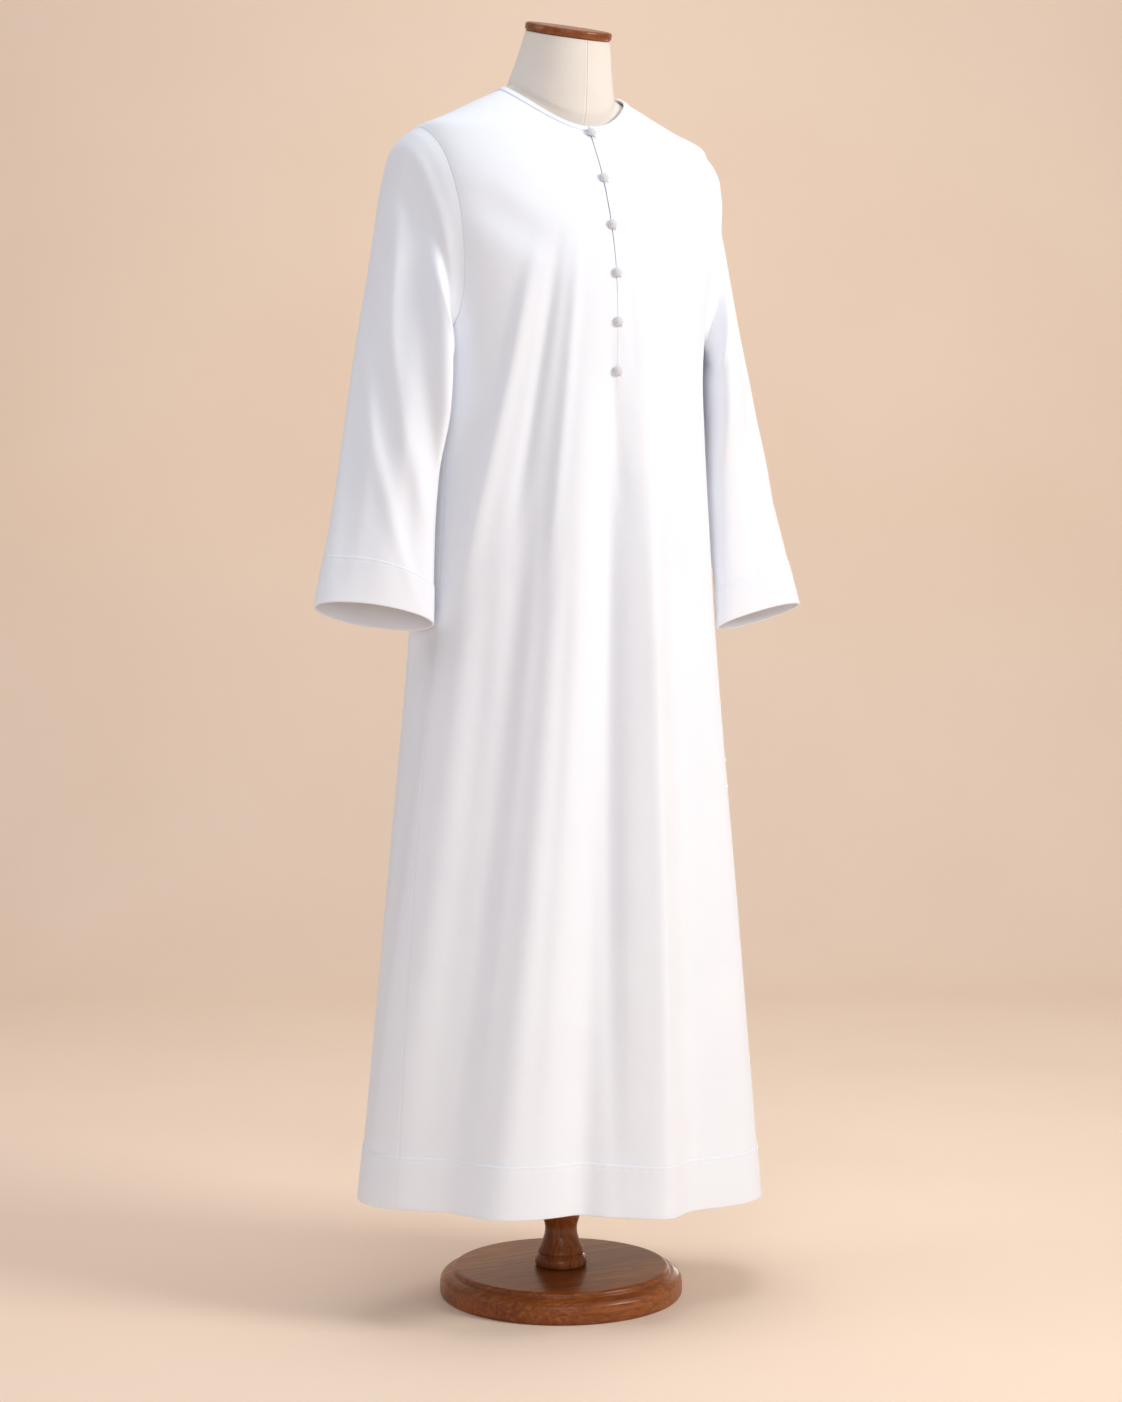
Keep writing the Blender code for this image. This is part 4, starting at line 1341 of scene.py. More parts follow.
@dataclass
class Sleeves:
    """Both sleeves and their cuff bands: each a tube from its armhole to a turned-up cuff."""

    body: RobeBody
    edges: Edges
    finishes: Finishes
    rings: tuple[Ring, ...] = (
        Ring(0.00, 0.208, 0.000, 1.520, 0.1940, 0.005, 1.262, 0.080, 0.0),
        Ring(0.07, 0.233, -0.011, 1.496, 0.1985, 0.010, 1.248, 0.068, 0.0),
        Ring(0.18, 0.243, -0.042, 1.428, 0.1945, 0.072, 1.222, 0.053, 0.0),
        Ring(0.34, 0.268, -0.040, 1.290, 0.1995, 0.083, 1.160, 0.045, 4.0),
        Ring(0.55, 0.300, -0.018, 1.150, 0.2074, 0.064, 1.075, 0.038, 8.0),
        Ring(0.75, 0.327, 0.004, 1.035, 0.2105, 0.057, 0.985, 0.036, 13.0),
        Ring(1.00, 0.357, 0.018, 0.912, 0.2125, 0.056, 0.888, 0.036, 20.0),
    )
    folds: tuple[SleeveFold, ...] = (
        SleeveFold(-0.10, 0.84, -18.0, 164.0, 21.0, 0.0100, Side.RIGHT),
        SleeveFold(-0.10, 0.84, 30.0, 214.0, 21.0, -0.0095, Side.RIGHT),
        SleeveFold(-0.10, 0.60, -10.0, 112.0, 8.0, 0.0020, Side.RIGHT),
        SleeveFold(0.36, 1.04, 32.0, 140.0, 11.0, 0.0032, Side.RIGHT),
        SleeveFold(-0.05, 1.00, 212.0, 216.0, 26.0, 0.0130, Side.LEFT),
        SleeveFold(-0.05, 0.70, 20.0, 92.0, 12.0, 0.0040, Side.LEFT),
        SleeveFold(0.05, 0.85, 226.0, 232.0, 36.0, 0.005),
        SleeveFold(0.04, 0.80, 35.0, 62.0, 20.0, 0.005),
        SleeveFold(0.04, 0.70, 66.0, 98.0, 18.0, -0.005),
        SleeveFold(0.30, 1.05, 30.0, 44.0, 22.0, -0.005),
        SleeveFold(0.45, 1.05, 100.0, 88.0, 24.0, 0.005),
        SleeveFold(0.10, 0.85, 300.0, 282.0, 24.0, 0.005),
        SleeveFold(0.20, 1.05, 262.0, 244.0, 22.0, -0.005),
        SleeveFold(-0.06, 0.40, 322.0, 290.0, 12.0, 0.0050),
        SleeveFold(0.50, 1.02, 66.0, 58.0, 10.0, 0.0016),
        SleeveFold(0.42, 0.95, 118.0, 112.0, 10.0, -0.0018),
        SleeveFold(0.05, 0.45, 318.0, 296.0, 10.0, -0.0020),
        SleeveFold(0.40, 1.00, 226.0, 232.0, 11.0, 0.0018),
    )
    length: float = 0.50
    armhole_blend: float = 0.22
    columns: int = 144
    rows: int = 168
    wall: float = 0.9 * MM
    band: float = 62.0
    stitch_row: float = 59.2
    puckers: float = 23.0
    seam_dip: float = 0.35 * MM
    crown_puff: Puff = Puff(1.8, 11.0, 9.0)
    side_puff: Puff = Puff(3.2, 30.0, 12.0)
    side_puff_turns: tuple[float, ...] = (76.0, 282.0)
    side_puff_spread: float = 44.0

    def value(self, name: str, station: Array) -> Array:
        """One column of the ring table at any station."""
        return curve(self.rings, "station", name, station)

    def folded(self, turn: Array, station: Array, side: Side) -> Array:
        """How far the folds push a sleeve's cloth out: bells across slanting lines down it.

        Args:
            turn: degrees round the sleeve.
            station: share of the way down it.
            side: which sleeve.

        Returns:
            Metres outwards.
        """
        total = np.zeros(np.broadcast(turn, station).shape)
        for fold in self.folds:
            if fold.side not in (None, side):
                continue
            along = (station - fold.top) / (fold.bottom - fold.top)
            centre = fold.top_angle + (fold.bottom_angle - fold.top_angle) * along
            inside = ease(along * 3.0) * ease((1.0 - along) * 3.0)
            total = total + fold.depth * inside * np.exp(-((turn_from(turn, centre) / fold.spread) ** 2))
        return total

    def ring(self, turn: Array, station: Array, side: Side) -> Array:
        """Points on the rings: ellipses between their two ends, pitched about their long axis.

        Args:
            turn: degrees round the sleeve.
            station: share of the way down it.
            side: which sleeve, for its folds, which add to the ellipse's thickness.

        Returns:
            Points by 3.
        """
        turn, station = np.broadcast_arrays(np.asarray(turn, float), np.asarray(station, float))
        ends = [
            np.stack(
                (
                    self.value(end + "_side", station),
                    -self.value(end + "_forward", station),
                    self.value(end + "_height", station),
                ),
                axis=-1,
            )
            for end in ("outer", "inner")
        ]
        long_way = (ends[0] - ends[1]) / 2.0
        axis = unit(long_way)
        front = np.array((0.0, -1.0, 0.0))
        level = unit(front - axis * np.sum(axis * front, axis=-1, keepdims=True))
        pitch = np.radians(self.value("pitch", station))[..., None]
        thick_way = level * np.cos(pitch) + np.cross(level, axis) * np.sin(pitch)
        half = (self.value("half_thick", station) + self.folded(turn, station, side))[..., None]
        cosine, sine = np.cos(np.radians(turn))[..., None], np.sin(np.radians(turn))[..., None]
        return (ends[0] + ends[1]) / 2.0 + long_way * cosine + thick_way * half * sine

    def seam(self, turn: Array, side: Side) -> tuple[Array, Array]:
        """The armhole's seam on the body.

        Args:
            turn: degrees round the sleeve.
            side: which sleeve.

        Returns:
            Its angle round the body on its own side, and its height.
        """
        turn = np.asarray(turn, float)
        front = self.edges.armhole(turn, -self.edges.front_reach)
        back = self.edges.armhole(360.0 - turn, self.edges.back_reach)
        angle = np.where(turn <= 180.0, front[0], back[0])
        return angle * side.value, np.where(turn <= 180.0, front[1], back[1])

    def armhole(self, turn: Array, side: Side) -> Array:
        """Points on the armhole's seam, told as if on the left side."""
        return self.body.point(*self.seam(turn, side)) * np.array((side.value, 1.0, 1.0))

    def point(self, turn: Array, station: Array, side: Side) -> Array:
        """Points on the outside, flowing from the armhole's edge into the rings.

        Args:
            turn: degrees round the sleeve.
            station: share of the way down it.
            side: which sleeve; both are told as if on the left.

        Returns:
            Points by 3.
        """
        turn, station = np.broadcast_arrays(np.asarray(turn, float) % 360.0, np.asarray(station, float))
        fade = (1.0 - ease(station / self.armhole_blend))[..., None]
        start = self.armhole(turn, side) - self.ring(turn, 0.0 * station, side)
        return self.ring(turn, station, side) + start * fade

    def normal(self, turn: Array, station: Array, side: Side) -> Array:
        """Outward unit normals: the cross product of the steps between near points.

        Args:
            turn: degrees round the sleeve.
            station: share of the way down it.
            side: which sleeve; both are told as if on the left.

        Returns:
            Normals by 3.
        """
        step = 0.004
        around = self.point(turn + 1.0, station, side) - self.point(turn - 1.0, station, side)
        above, below = np.clip(station - step, 0.0, 1.0), np.clip(station + step, 0.0, 1.0)
        return unit(np.cross(around, self.point(turn, below, side) - self.point(turn, above, side)))

    def offset(self, turn: Array, station: Array, distance: Array, side: Side) -> Array:
        """Points at a distance out from the outside, mirrored onto their own side.

        Args:
            turn: degrees round the sleeve.
            station: share of the way down it.
            distance: metres out.
            side: which sleeve.

        Returns:
            Points by 3.
        """
        distance = np.asarray(distance, float)[..., None]
        points = self.point(turn, station, side) + distance * self.normal(turn, station, side)
        return points * np.array((side.value, 1.0, 1.0))

    def make(self) -> Pieces:
        """Build both sleeves and both cuff bands.

        Returns:
            The pieces by name.
        """
        made = {}
        turn = np.arange(self.columns) * 360.0 / self.columns
        reach, out = FoldedStrip(self.band, steps=26).section().T
        up = reach[:, None]
        waves = np.sin(np.radians(turn) * self.puckers + 1.3 * np.sin(np.radians(turn) * 4.0))
        distance = StitchRow().drawn(up, out, self.stitch_row, waves)
        for side in Side:
            word = side.name.lower()
            tube = self.tube(turn, side)
            name = "sleeve_" + word
            patch = Patch(tube, self.flat(tube), round_columns=True, flipped=side is Side.LEFT)
            made[name] = build("robe_" + name, [patch], self.finishes.cotton)
            thicken(made[name], self.wall)
            finish_piece(made[name], "white_cotton", name)
            band = self.band_points(turn, up, distance, side)
            name = "cuff_band_" + word
            patch = Patch(band, self.flat(band, True), True, True, side is Side.RIGHT)
            made[name] = build("robe_" + name, [patch], self.finishes.cotton)
            finish_piece(made[name], "white_cotton", name)
        return made

    def tube(self, turn: Array, side: Side) -> Array:
        """A sleeve's outside from its armhole to its cuff.

        Its first rows lie close beside the seam, where the cloth dips along the
        body's normals. Below the seam its head puffs out in two raised rings: one
        that fades towards the underarm, and one in a bell at its front and back.

        Args:
            turn: degrees round the sleeve.
            side: which sleeve.

        Returns:
            Rows by columns by 3.
        """
        edge = np.array((0.02 * MM, *EDGE_STEPS))
        rows = np.concatenate((edge / self.length, np.linspace(5.0 * MM / self.length, 1.0, self.rows)))
        away = rows[:, None] * self.length
        cap = ease(np.cos(np.radians(turn)) + 0.4)
        near = [turn_from(turn, middle) / self.side_puff_spread for middle in self.side_puff_turns]
        sides = sum(np.exp(-(off**2)) for off in near)
        puffs = cap * self.crown_puff.height(away) + sides * self.side_puff.height(away)
        points = self.offset(turn[None, :], rows[:, None], puffs, side)
        dip = rolled(away, self.seam_dip)[..., None]
        return points + self.body.normal(*self.seam(turn, side)) * dip

    def band_points(self, turn: Array, up: Array, distance: Array, side: Side) -> Array:
        """Points of the cuff band; below the cuff they go straight on.

        Args:
            turn: degrees round the sleeve.
            up: metres up from the cuff, points by 1.
            distance: metres out, points by columns.
            side: which sleeve.

        Returns:
            Points by columns by 3.
        """
        station = np.clip(1.0 - up / self.length, 0.0, 1.0)
        points = self.offset(turn[None, :] + 0.0 * up, station + 0.0 * turn[None, :], distance, side)
        end, before = (self.offset(turn, 0.0 * turn + at, 0.0 * turn, side) for at in (1.0, 0.97))
        down = end - before
        return points + unit(down)[None] * np.maximum(-up, 0.0)[..., None]

    def flat(self, points: Array, closed_rows: bool = False) -> Array:
        """The flat map of a tube: lengths round it and down it.

        Args:
            points: rows by columns by 3.
            closed_rows: whether its section closes as well.

        Returns:
            The map, with one more column, and one more row where its section closes.
        """
        around = np.concatenate((points, points[:, :1]), axis=1)
        if closed_rows:
            around = np.concatenate((around, around[:1]), axis=0)
        return np.stack((run_length(around, 1), -run_length(around, 0)), axis=-1)


# --- fastening ---------------------------------------------------------------------


def turned_grid(profile: Array, steps: int) -> Patch:
    """A half profile carried round the Z axis: each point's radius times cosine and sine.

    Args:
        profile: radius and height, from the top down the outside, closed at the axis.
        steps: points round it.

    Returns:
        The grid, with a flat map of its lengths.
    """
    turn = np.radians(np.arange(steps) * 360.0 / steps)
    radius, height = profile[:, :1], profile[:, 1:]
    points = np.stack((radius * np.cos(turn), radius * np.sin(turn), height + 0.0 * turn), axis=-1)
    length = np.concatenate(([0.0], np.cumsum(np.linalg.norm(np.diff(profile, axis=0), axis=-1))))
    around = np.linspace(0.0, 2.0 * math.pi * radius.max(), steps + 1)
    flat = np.stack(np.broadcast_arrays(around[None, :], -length[:, None]), axis=-1)
    return Patch(points, flat, round_columns=True)


def rounded(points: Array, radius: float, steps: int = 5) -> Array:
    """Round a profile's corners: each becomes a parabola between points on its two sides.

    Args:
        points: radius and height down the profile.
        radius: how far along a side a corner may reach, at most 0.45 of the side.
        steps: points in a corner.

    Returns:
        The finer profile.
    """
    before, here, after = points[:-2], points[1:-1], points[2:]
    into, out = here - before, after - here
    reach_in = np.minimum(radius, 0.45 * np.linalg.norm(into, axis=-1))[:, None]
    reach_out = np.minimum(radius, 0.45 * np.linalg.norm(out, axis=-1))[:, None]
    start, stop = here - unit(into) * reach_in, here + unit(out) * reach_out
    t = np.linspace(0.0, 1.0, steps)[None, :, None]
    bends = (1 - t) ** 2 * start[:, None] + 2 * t * (1 - t) * here[:, None] + t**2 * stop[:, None]
    return np.concatenate((points[:1], bends.reshape(-1, 2), points[-1:]))


def placed(patch: Patch, origin: Array, up: Array) -> Patch:
    """Turn a patch so that its Z axis lies along a direction, and move it to a place.

    Args:
        patch: a grid about the origin.
        origin: where its own origin goes.
        up: where its Z axis points.

    Returns:
        The same patch.
    """
    basis = np.array(Vector(up).to_track_quat("Z", "Y").to_matrix())
    patch.points = patch.points @ basis.T + np.asarray(origin)
    return patch


@dataclass
class Fastening:
    """Six cloth-covered dome buttons down the slit, each caught by a fine thread loop."""

    body: RobeBody
    finishes: Finishes
    count: int = 6
    top_height: float = 1.518
    low_height: float = 1.209
    diameter: float = 12.5 * MM
    rise: float = 6.5 * MM
    lift: float = 0.75 * MM
    binding_lift: float = 2.2 * MM
    side_share: float = 0.22
    loop_radius: float = 0.55 * MM
    loop_reach: float = 9.0 * MM
    loop_half_width: float = 1.5 * MM
    steps: int = 40

    def profile(self) -> Array:
        """A flat crown eased into a quarter ellipse, a short drawn-in side and a flat underside.

        Returns:
            Radius and height down the outside.
        """
        radius, side = self.diameter / 2.0, self.side_share * self.rise
        along = np.radians(np.linspace(90.0, 0.0, 16))
        dome = np.stack((radius * np.cos(along), side + (self.rise - side) * np.sin(along)), axis=-1)
        foot = np.array(((0.985, 0.7), (0.95, 0.35), (0.90, 0.10), (0.84, 0.0), (0.0, 0.0)))
        foot = foot * np.array((radius, side))
        return np.concatenate((dome, foot))

    def loop(self, seat: Vector, out: Vector, number: int) -> Patch:
        """A thread loop's tube, carried along half an ellipse that comes out low beside the button.

        Args:
            seat: the middle of the button's underside.
            out: the way out from the cloth.
            number: the button's number, which varies the loop a little.

        Returns:
            The tube's grid.
        """
        turn = np.linspace(-0.35, math.pi + 0.35, self.steps)
        sway = 0.15 * math.sin(2.3 * number)
        side = np.array((1.0, 0.0, 0.0))
        low = np.cross(side, np.array(out))
        low = low if low[2] < 0.0 else -low
        way = unit(side * (0.72 + sway) + low * 0.70)
        across = np.cross(way, np.array(out))
        centre = (
            np.array(seat)[None]
            + way * (self.loop_reach * np.sin(turn))[:, None]
            + across * (self.loop_half_width * np.cos(turn))[:, None]
        )
        tangent = unit(np.gradient(centre, axis=0))
        normal = np.array(out)[None] + 0.0 * tangent
        binormal = unit(np.cross(tangent, normal))
        around = np.radians(np.arange(8) * 45.0)
        points = (
            centre[:, None]
            + self.loop_radius * np.cos(around)[None, :, None] * normal[:, None]
            + self.loop_radius * np.sin(around)[None, :, None] * binormal[:, None]
        )
        points = np.swapaxes(points, 0, 1)
        girth = np.broadcast_to(around[:, None] * self.loop_radius, points.shape[:2])
        flat = np.stack((run_length(points, 1), girth), axis=-1)
        flat = np.concatenate((flat, flat[:1]), axis=0)
        return Patch(points, flat, round_rows=True, capped=True)

    def make(self) -> Pieces:
        """Build the buttons, each in its own piece, and the loops in one.

        Returns:
            The pieces by name.
        """
        made = {}
        loops = []
        for number in range(self.count):
            share = number / (self.count - 1)
            height = self.top_height + (self.low_height - self.top_height) * share
            out = Vector(self.body.normal(0.0, height, False))
            out.x = 0.0
            out.normalize()
            lift = self.lift + (self.binding_lift - self.lift if number == 0 else 0.0)
            seat = Vector(self.body.point(0.0, height)) + out * lift
            seat.x = 0.0
            node = "button_%d" % (number + 1)
            patch = placed(turned_grid(self.profile(), self.steps), seat, out)
            made[node] = build("covered_" + node, [patch], self.finishes.buttons, weld=True)
            finish_piece(made[node], "covered_button", node)
            loops.append(self.loop(seat - out * (lift - self.loop_radius), out, number))
        made["loops"] = build("button_thread_loops", loops, self.finishes.thread)
        finish_piece(made["loops"], "white_cotton")
        return made


# --- sewing -------------------------------------------------------------------------


@dataclass
class Sewing:
    """Rows of machine stitches: short thread capsules laid end to end along the seams."""

    finishes: Finishes
    pitch: float = 3.2 * MM
    length: float = 2.7 * MM
    width: float = 0.50 * MM
    height: float = 0.32 * MM
    lift: float = 0.92 * MM
    binding_lift: float = 1.12 * MM
    cuff_steps: int = 300

    def template(self) -> tuple[Array, Array]:
        """One stitch: a six-sided spindle whose radius is a half sine along it, squared off.

        Returns:
            Its points along, across and out, and its quads.
        """
        t = np.array((-1.0, -0.8, 0.0, 0.8, 1.0))
        swell = np.array((0.15, 0.75, 1.0, 0.75, 0.15))
        turn = np.radians(np.arange(6) * 60.0)
        along = np.repeat(t * self.length / 2.0, 6)
        across = np.outer(swell, np.cos(turn)).ravel() * self.width / 2.0
        out = np.outer(swell, np.sin(turn)).ravel() * self.height / 2.0
        r, c = np.meshgrid(np.arange(4), np.arange(6), indexing="ij")
        corners = ((r, c), (r, c + 1), (r + 1, c + 1), (r + 1, c))
        quads = np.stack([(a * 6 + b % 6).ravel() for a, b in corners], axis=-1)
        return np.stack((along, across, out), axis=-1), quads

    def row(self, path: Array, normals: Array) -> tuple[Array, Array]:
        """Lay stitches along a path at an even pitch.

        Args:
            path: points along the seam, on the cloth's face.
            normals: the ways out from it.

        Returns:
            The points and quads of all its stitches.
        """
        run = np.concatenate(([0.0], np.cumsum(np.linalg.norm(np.diff(path, axis=0), axis=-1))))
        at = np.arange(self.pitch, run[-1] - self.pitch, self.pitch)
        centre, out, ahead = (
            np.stack([np.interp(at + shift, run, values[:, k]) for k in range(3)], axis=-1)
            for values, shift in ((path, 0.0), (normals, 0.0), (path, 0.5 * MM))
        )
        along = unit(ahead - centre)
        out = unit(out - along * np.sum(out * along, axis=-1, keepdims=True))
        across = np.cross(out, along)
        template, quads = self.template()
        basis = np.stack((along, across, out), axis=1)
        points = centre[:, None] + np.einsum("kj,njc->nkc", template, basis)
        count = len(template)
        faces = quads[None] + (np.arange(len(at)) * count)[:, None, None]
        return points.reshape(-1, 3), faces.reshape(-1, 4)

    def make(self, name: str, rows: list[tuple[Array, Array]]) -> bpy.types.Object:
        """Build one piece from several rows.

        Args:
            name: the piece's name.
            rows: pairs of a path and its normals.

        Returns:
            The piece.
        """
        points, faces, start = [], [], 0
        for path, normals in rows:
            stitches, quads = self.row(path, normals)
            points.append(stitches)
            faces.append(quads + start)
            start += len(stitches)
        mesh = bpy.data.meshes.new(name)
        mesh.from_pydata(np.concatenate(points), [], np.concatenate(faces).tolist())
        mesh.uv_layers.new(name="flat")
        mesh.shade_smooth()
        mesh.materials.append(self.finishes.thread)
        thing = bpy.data.objects.new(name, mesh)
        bpy.context.scene.collection.objects.link(thing)
        return finish_piece(thing, "white_cotton")

    def sew(self, body: RobeBody, binding: Binding, bands: Bands, sleeves: Sleeves) -> Pieces:
        """Sew the binding, the hem bands and the cuff bands.

        Args:
            body: the form that the neck and hem follow.
            binding: gives its rows and angles.
            bands: gives theirs.
            sleeves: gives the cuffs'.

        Returns:
            The pieces by name.
        """
        made = {}
        angle = binding.angles()
        edge = binding.edges.neck(angle)
        rows = []
        for reach in binding.stitch_rows:
            height = body.down(angle, edge, reach * MM)
            rows.append((body.offset(angle, height, self.binding_lift), body.normal(angle, height)))
        made["neck"] = self.make("stitching_neck_binding", rows)
        for node in ("hem_band_front", "hem_band_back"):
            angle = bands.angles(node)
            height = body.hem(angle) + bands.stitch_row * MM
            path = body.offset(angle, height, self.lift)
            made[node] = self.make("stitching_" + node, [(path, body.normal(angle, height))])
        turn = np.linspace(0.0, 360.0, self.cuff_steps)
        for side in Side:
            station = np.full_like(turn, 1.0 - sleeves.stitch_row * MM / sleeves.length)
            path = sleeves.offset(turn, station, self.lift, side)
            normals = sleeves.normal(turn, station, side) * np.array((side.value, 1.0, 1.0))
            name = "stitching_cuff_" + side.name.lower()
            made[name] = self.make(name, [(path, normals)])
        return made


# --- dress form and stand --------------------------------------------------------------


@dataclass(frozen=True)
class Clearance:
    """Gap between the form's cover and the inside of the robe's solid at a height."""

    height: float
    gap: float


@dataclass(frozen=True)
class NeckRing:
    """A ring up the form's neck; drop and rise tip it down in front and up behind."""

    station: float
    height: float
    half_width: float
    front: float
    back: float
    drop: float
    rise: float


@dataclass
class DressForm:
    """The padded torso and neck under a linen cover, with its sewn seams."""

    body: RobeBody
    finishes: Finishes
    clearance: tuple[Clearance, ...] = (
        Clearance(0.770, 0.0480),
        Clearance(0.860, 0.0340),
        Clearance(0.960, 0.0380),
        Clearance(1.080, 0.0460),
        Clearance(1.200, 0.0240),
        Clearance(1.300, 0.0080),
        Clearance(1.400, 0.0040),
        Clearance(1.480, 0.0040),
        Clearance(1.620, 0.0040),
    )
    neck: tuple[NeckRing, ...] = (
        NeckRing(0.0, 1.587, 0.0710, 0.0670, 0.0680, 0.0430, 0.0110),
        NeckRing(0.4, 1.618, 0.0625, 0.0705, 0.0530, 0.0280, 0.0160),
        NeckRing(1.0, 1.655, 0.0555, 0.0721, 0.0341, 0.0162, 0.0162),
    )
    bottom: float = 0.770
    top_side: float = 1.580
    solid_wall: float = 2.0 * MM
    seat: float = 3.1 * MM
    seat_height: float = 1.44
    seat_rise: float = 0.06
    seat_spread: float = 7.0
    tip_from: float = 1.36
    neck_rows: int = 46
    torso_rows: int = 110
    seam_dip: float = 0.75 * MM
    neck_seam_dip: float = 0.90 * MM
    seam_radius: float = 70.0 * MM

    def angles(self) -> Array:
        """The angles that the form's columns stand at.

        Returns:
            Even angles, with close ones beside the seams at the front and back middle.
        """
        even = np.arange(0.0, 360.0, 2.5)
        fine = np.array((-1.9, -1.3, -0.8, -0.4, 0.4, 0.8, 1.3, 1.9))
        return np.unique(np.round(np.concatenate((even, fine % 360.0, 180.0 + fine)), 3))

    def tipped(self, angle: Array, height: float, drop: float, rise: float) -> Array:
        """Heights round a tipped ring: its height, with a cosine and a cosine squared.

        Args:
            angle: degrees round from the front.
            height: its height at the sides.
            drop: metres down in front.
            rise: metres up behind.

        Returns:
            Metres above the floor.
        """
        cosine = np.cos(np.radians(angle))
        return height - (drop + rise) / 2.0 * cosine + (rise - drop) / 2.0 * cosine**2

    def neck_ring(self, station: float) -> NeckRing:
        """The neck's ring at any station, read from its table's columns."""
        names = ("height", "half_width", "front", "back", "drop", "rise")
        return NeckRing(station, *(float(curve(self.neck, "station", name, station)) for name in names))

    def rings(self) -> tuple[Array, Array]:
        """The form's rings from the top of the neck to the bottom.

        A neck ring is an ellipse about its own middle. A torso ring is the robe's
        plain section, set in by the robe's wall and the clearance at its height.

        Returns:
            Rows by columns by 3, and each row's distance in mm from the neck's seam.
        """
        angle = self.angles()
        turn = np.radians(angle)
        rows, away = [], []
        for station in np.linspace(1.0, 0.0, self.neck_rows):
            ring = self.neck_ring(station)
            height = self.tipped(angle, ring.height, ring.drop, ring.rise)
            ahead = (ring.front - ring.back) / 2.0 + (ring.front + ring.back) / 2.0 * np.cos(turn)
            rows.append(np.stack((ring.half_width * np.sin(turn), -ahead, height), axis=-1))
            away.append(station * 75.0)
        foot = self.neck[0]
        for height in np.linspace(self.top_side, self.bottom, self.torso_rows):
            tip = ease((height - self.tip_from) / (foot.height - self.tip_from))
            heights = self.tipped(angle, height, foot.drop * tip, foot.rise * tip)
            gap = curve(self.clearance, "height", "gap", heights)
            from_seam = (np.abs(turn_from(angle, 0.0)) - 90.0) / self.seat_spread
            high = ease((heights - self.seat_height) / self.seat_rise)
            gap = gap - self.seat * high * np.exp(-(from_seam**2))
            rows.append(self.body.offset(angle, heights, -(self.solid_wall + gap), False))
            away.append((self.top_side - height) * 1000.0 + 7.0)
        rows[-1][:, 2] = self.bottom
        return np.array(rows), np.array(away)

    def make(self) -> Pieces:
        """Build the cover, closed by eased rings at its top and bottom.

        Its seams, at the front and back middle and round the neck's foot, are bells
        that dip in along the normals; the middle ones have a low ridge beside them.

        Returns:
            The piece by name.
        """
        points, away = self.rings()
        angle = self.angles()
        around = np.concatenate((points[:, -1:], points, points[:, :1]), axis=1)
        normals = unit(np.cross(np.gradient(points, axis=0), np.gradient(around, axis=1)[:, 1:-1]))
        off = np.minimum(np.abs(turn_from(angle, 0.0)), np.abs(turn_from(angle, 180.0)))
        off = np.radians(off)[None, :] * self.seam_radius
        ridge = 0.2 * MM * np.exp(-(((off - 1.9 * MM) / (0.9 * MM)) ** 2))
        seam = rolled(off, self.seam_dip, 0.7 * MM) + ridge
        neck_seam = rolled(away, self.neck_seam_dip, 1.6)[:, None]
        points = points + normals * (seam + neck_seam)[..., None]
        lids = [self.lid(points[0]), self.lid(points[-1])]
        points = np.concatenate((lids[0][::-1], points, lids[1]))
        around = np.concatenate((points, points[:, :1]), axis=1)
        flat = np.stack((run_length(around, 1), -run_length(around, 0)), axis=-1)
        patch = Patch(points, flat, round_columns=True)
        thing = build("linen_dress_form", [patch], self.finishes.linen, weld=True)
        finish_piece(thing, "cream_linen", "dress_form")
        return {"dress_form": thing}

    def lid(self, ring: Array) -> Array:
        """Close an end flat: the end ring drawn in towards its middle by shares.

        Args:
            ring: the end ring.

        Returns:
            The closing rings, from the end inwards.
        """
        middle = ring.mean(axis=0)
        shares = np.array((0.995, 0.97, 0.8, 0.4, 0.0))[:, None, None]
        return middle + (ring - middle) * shares


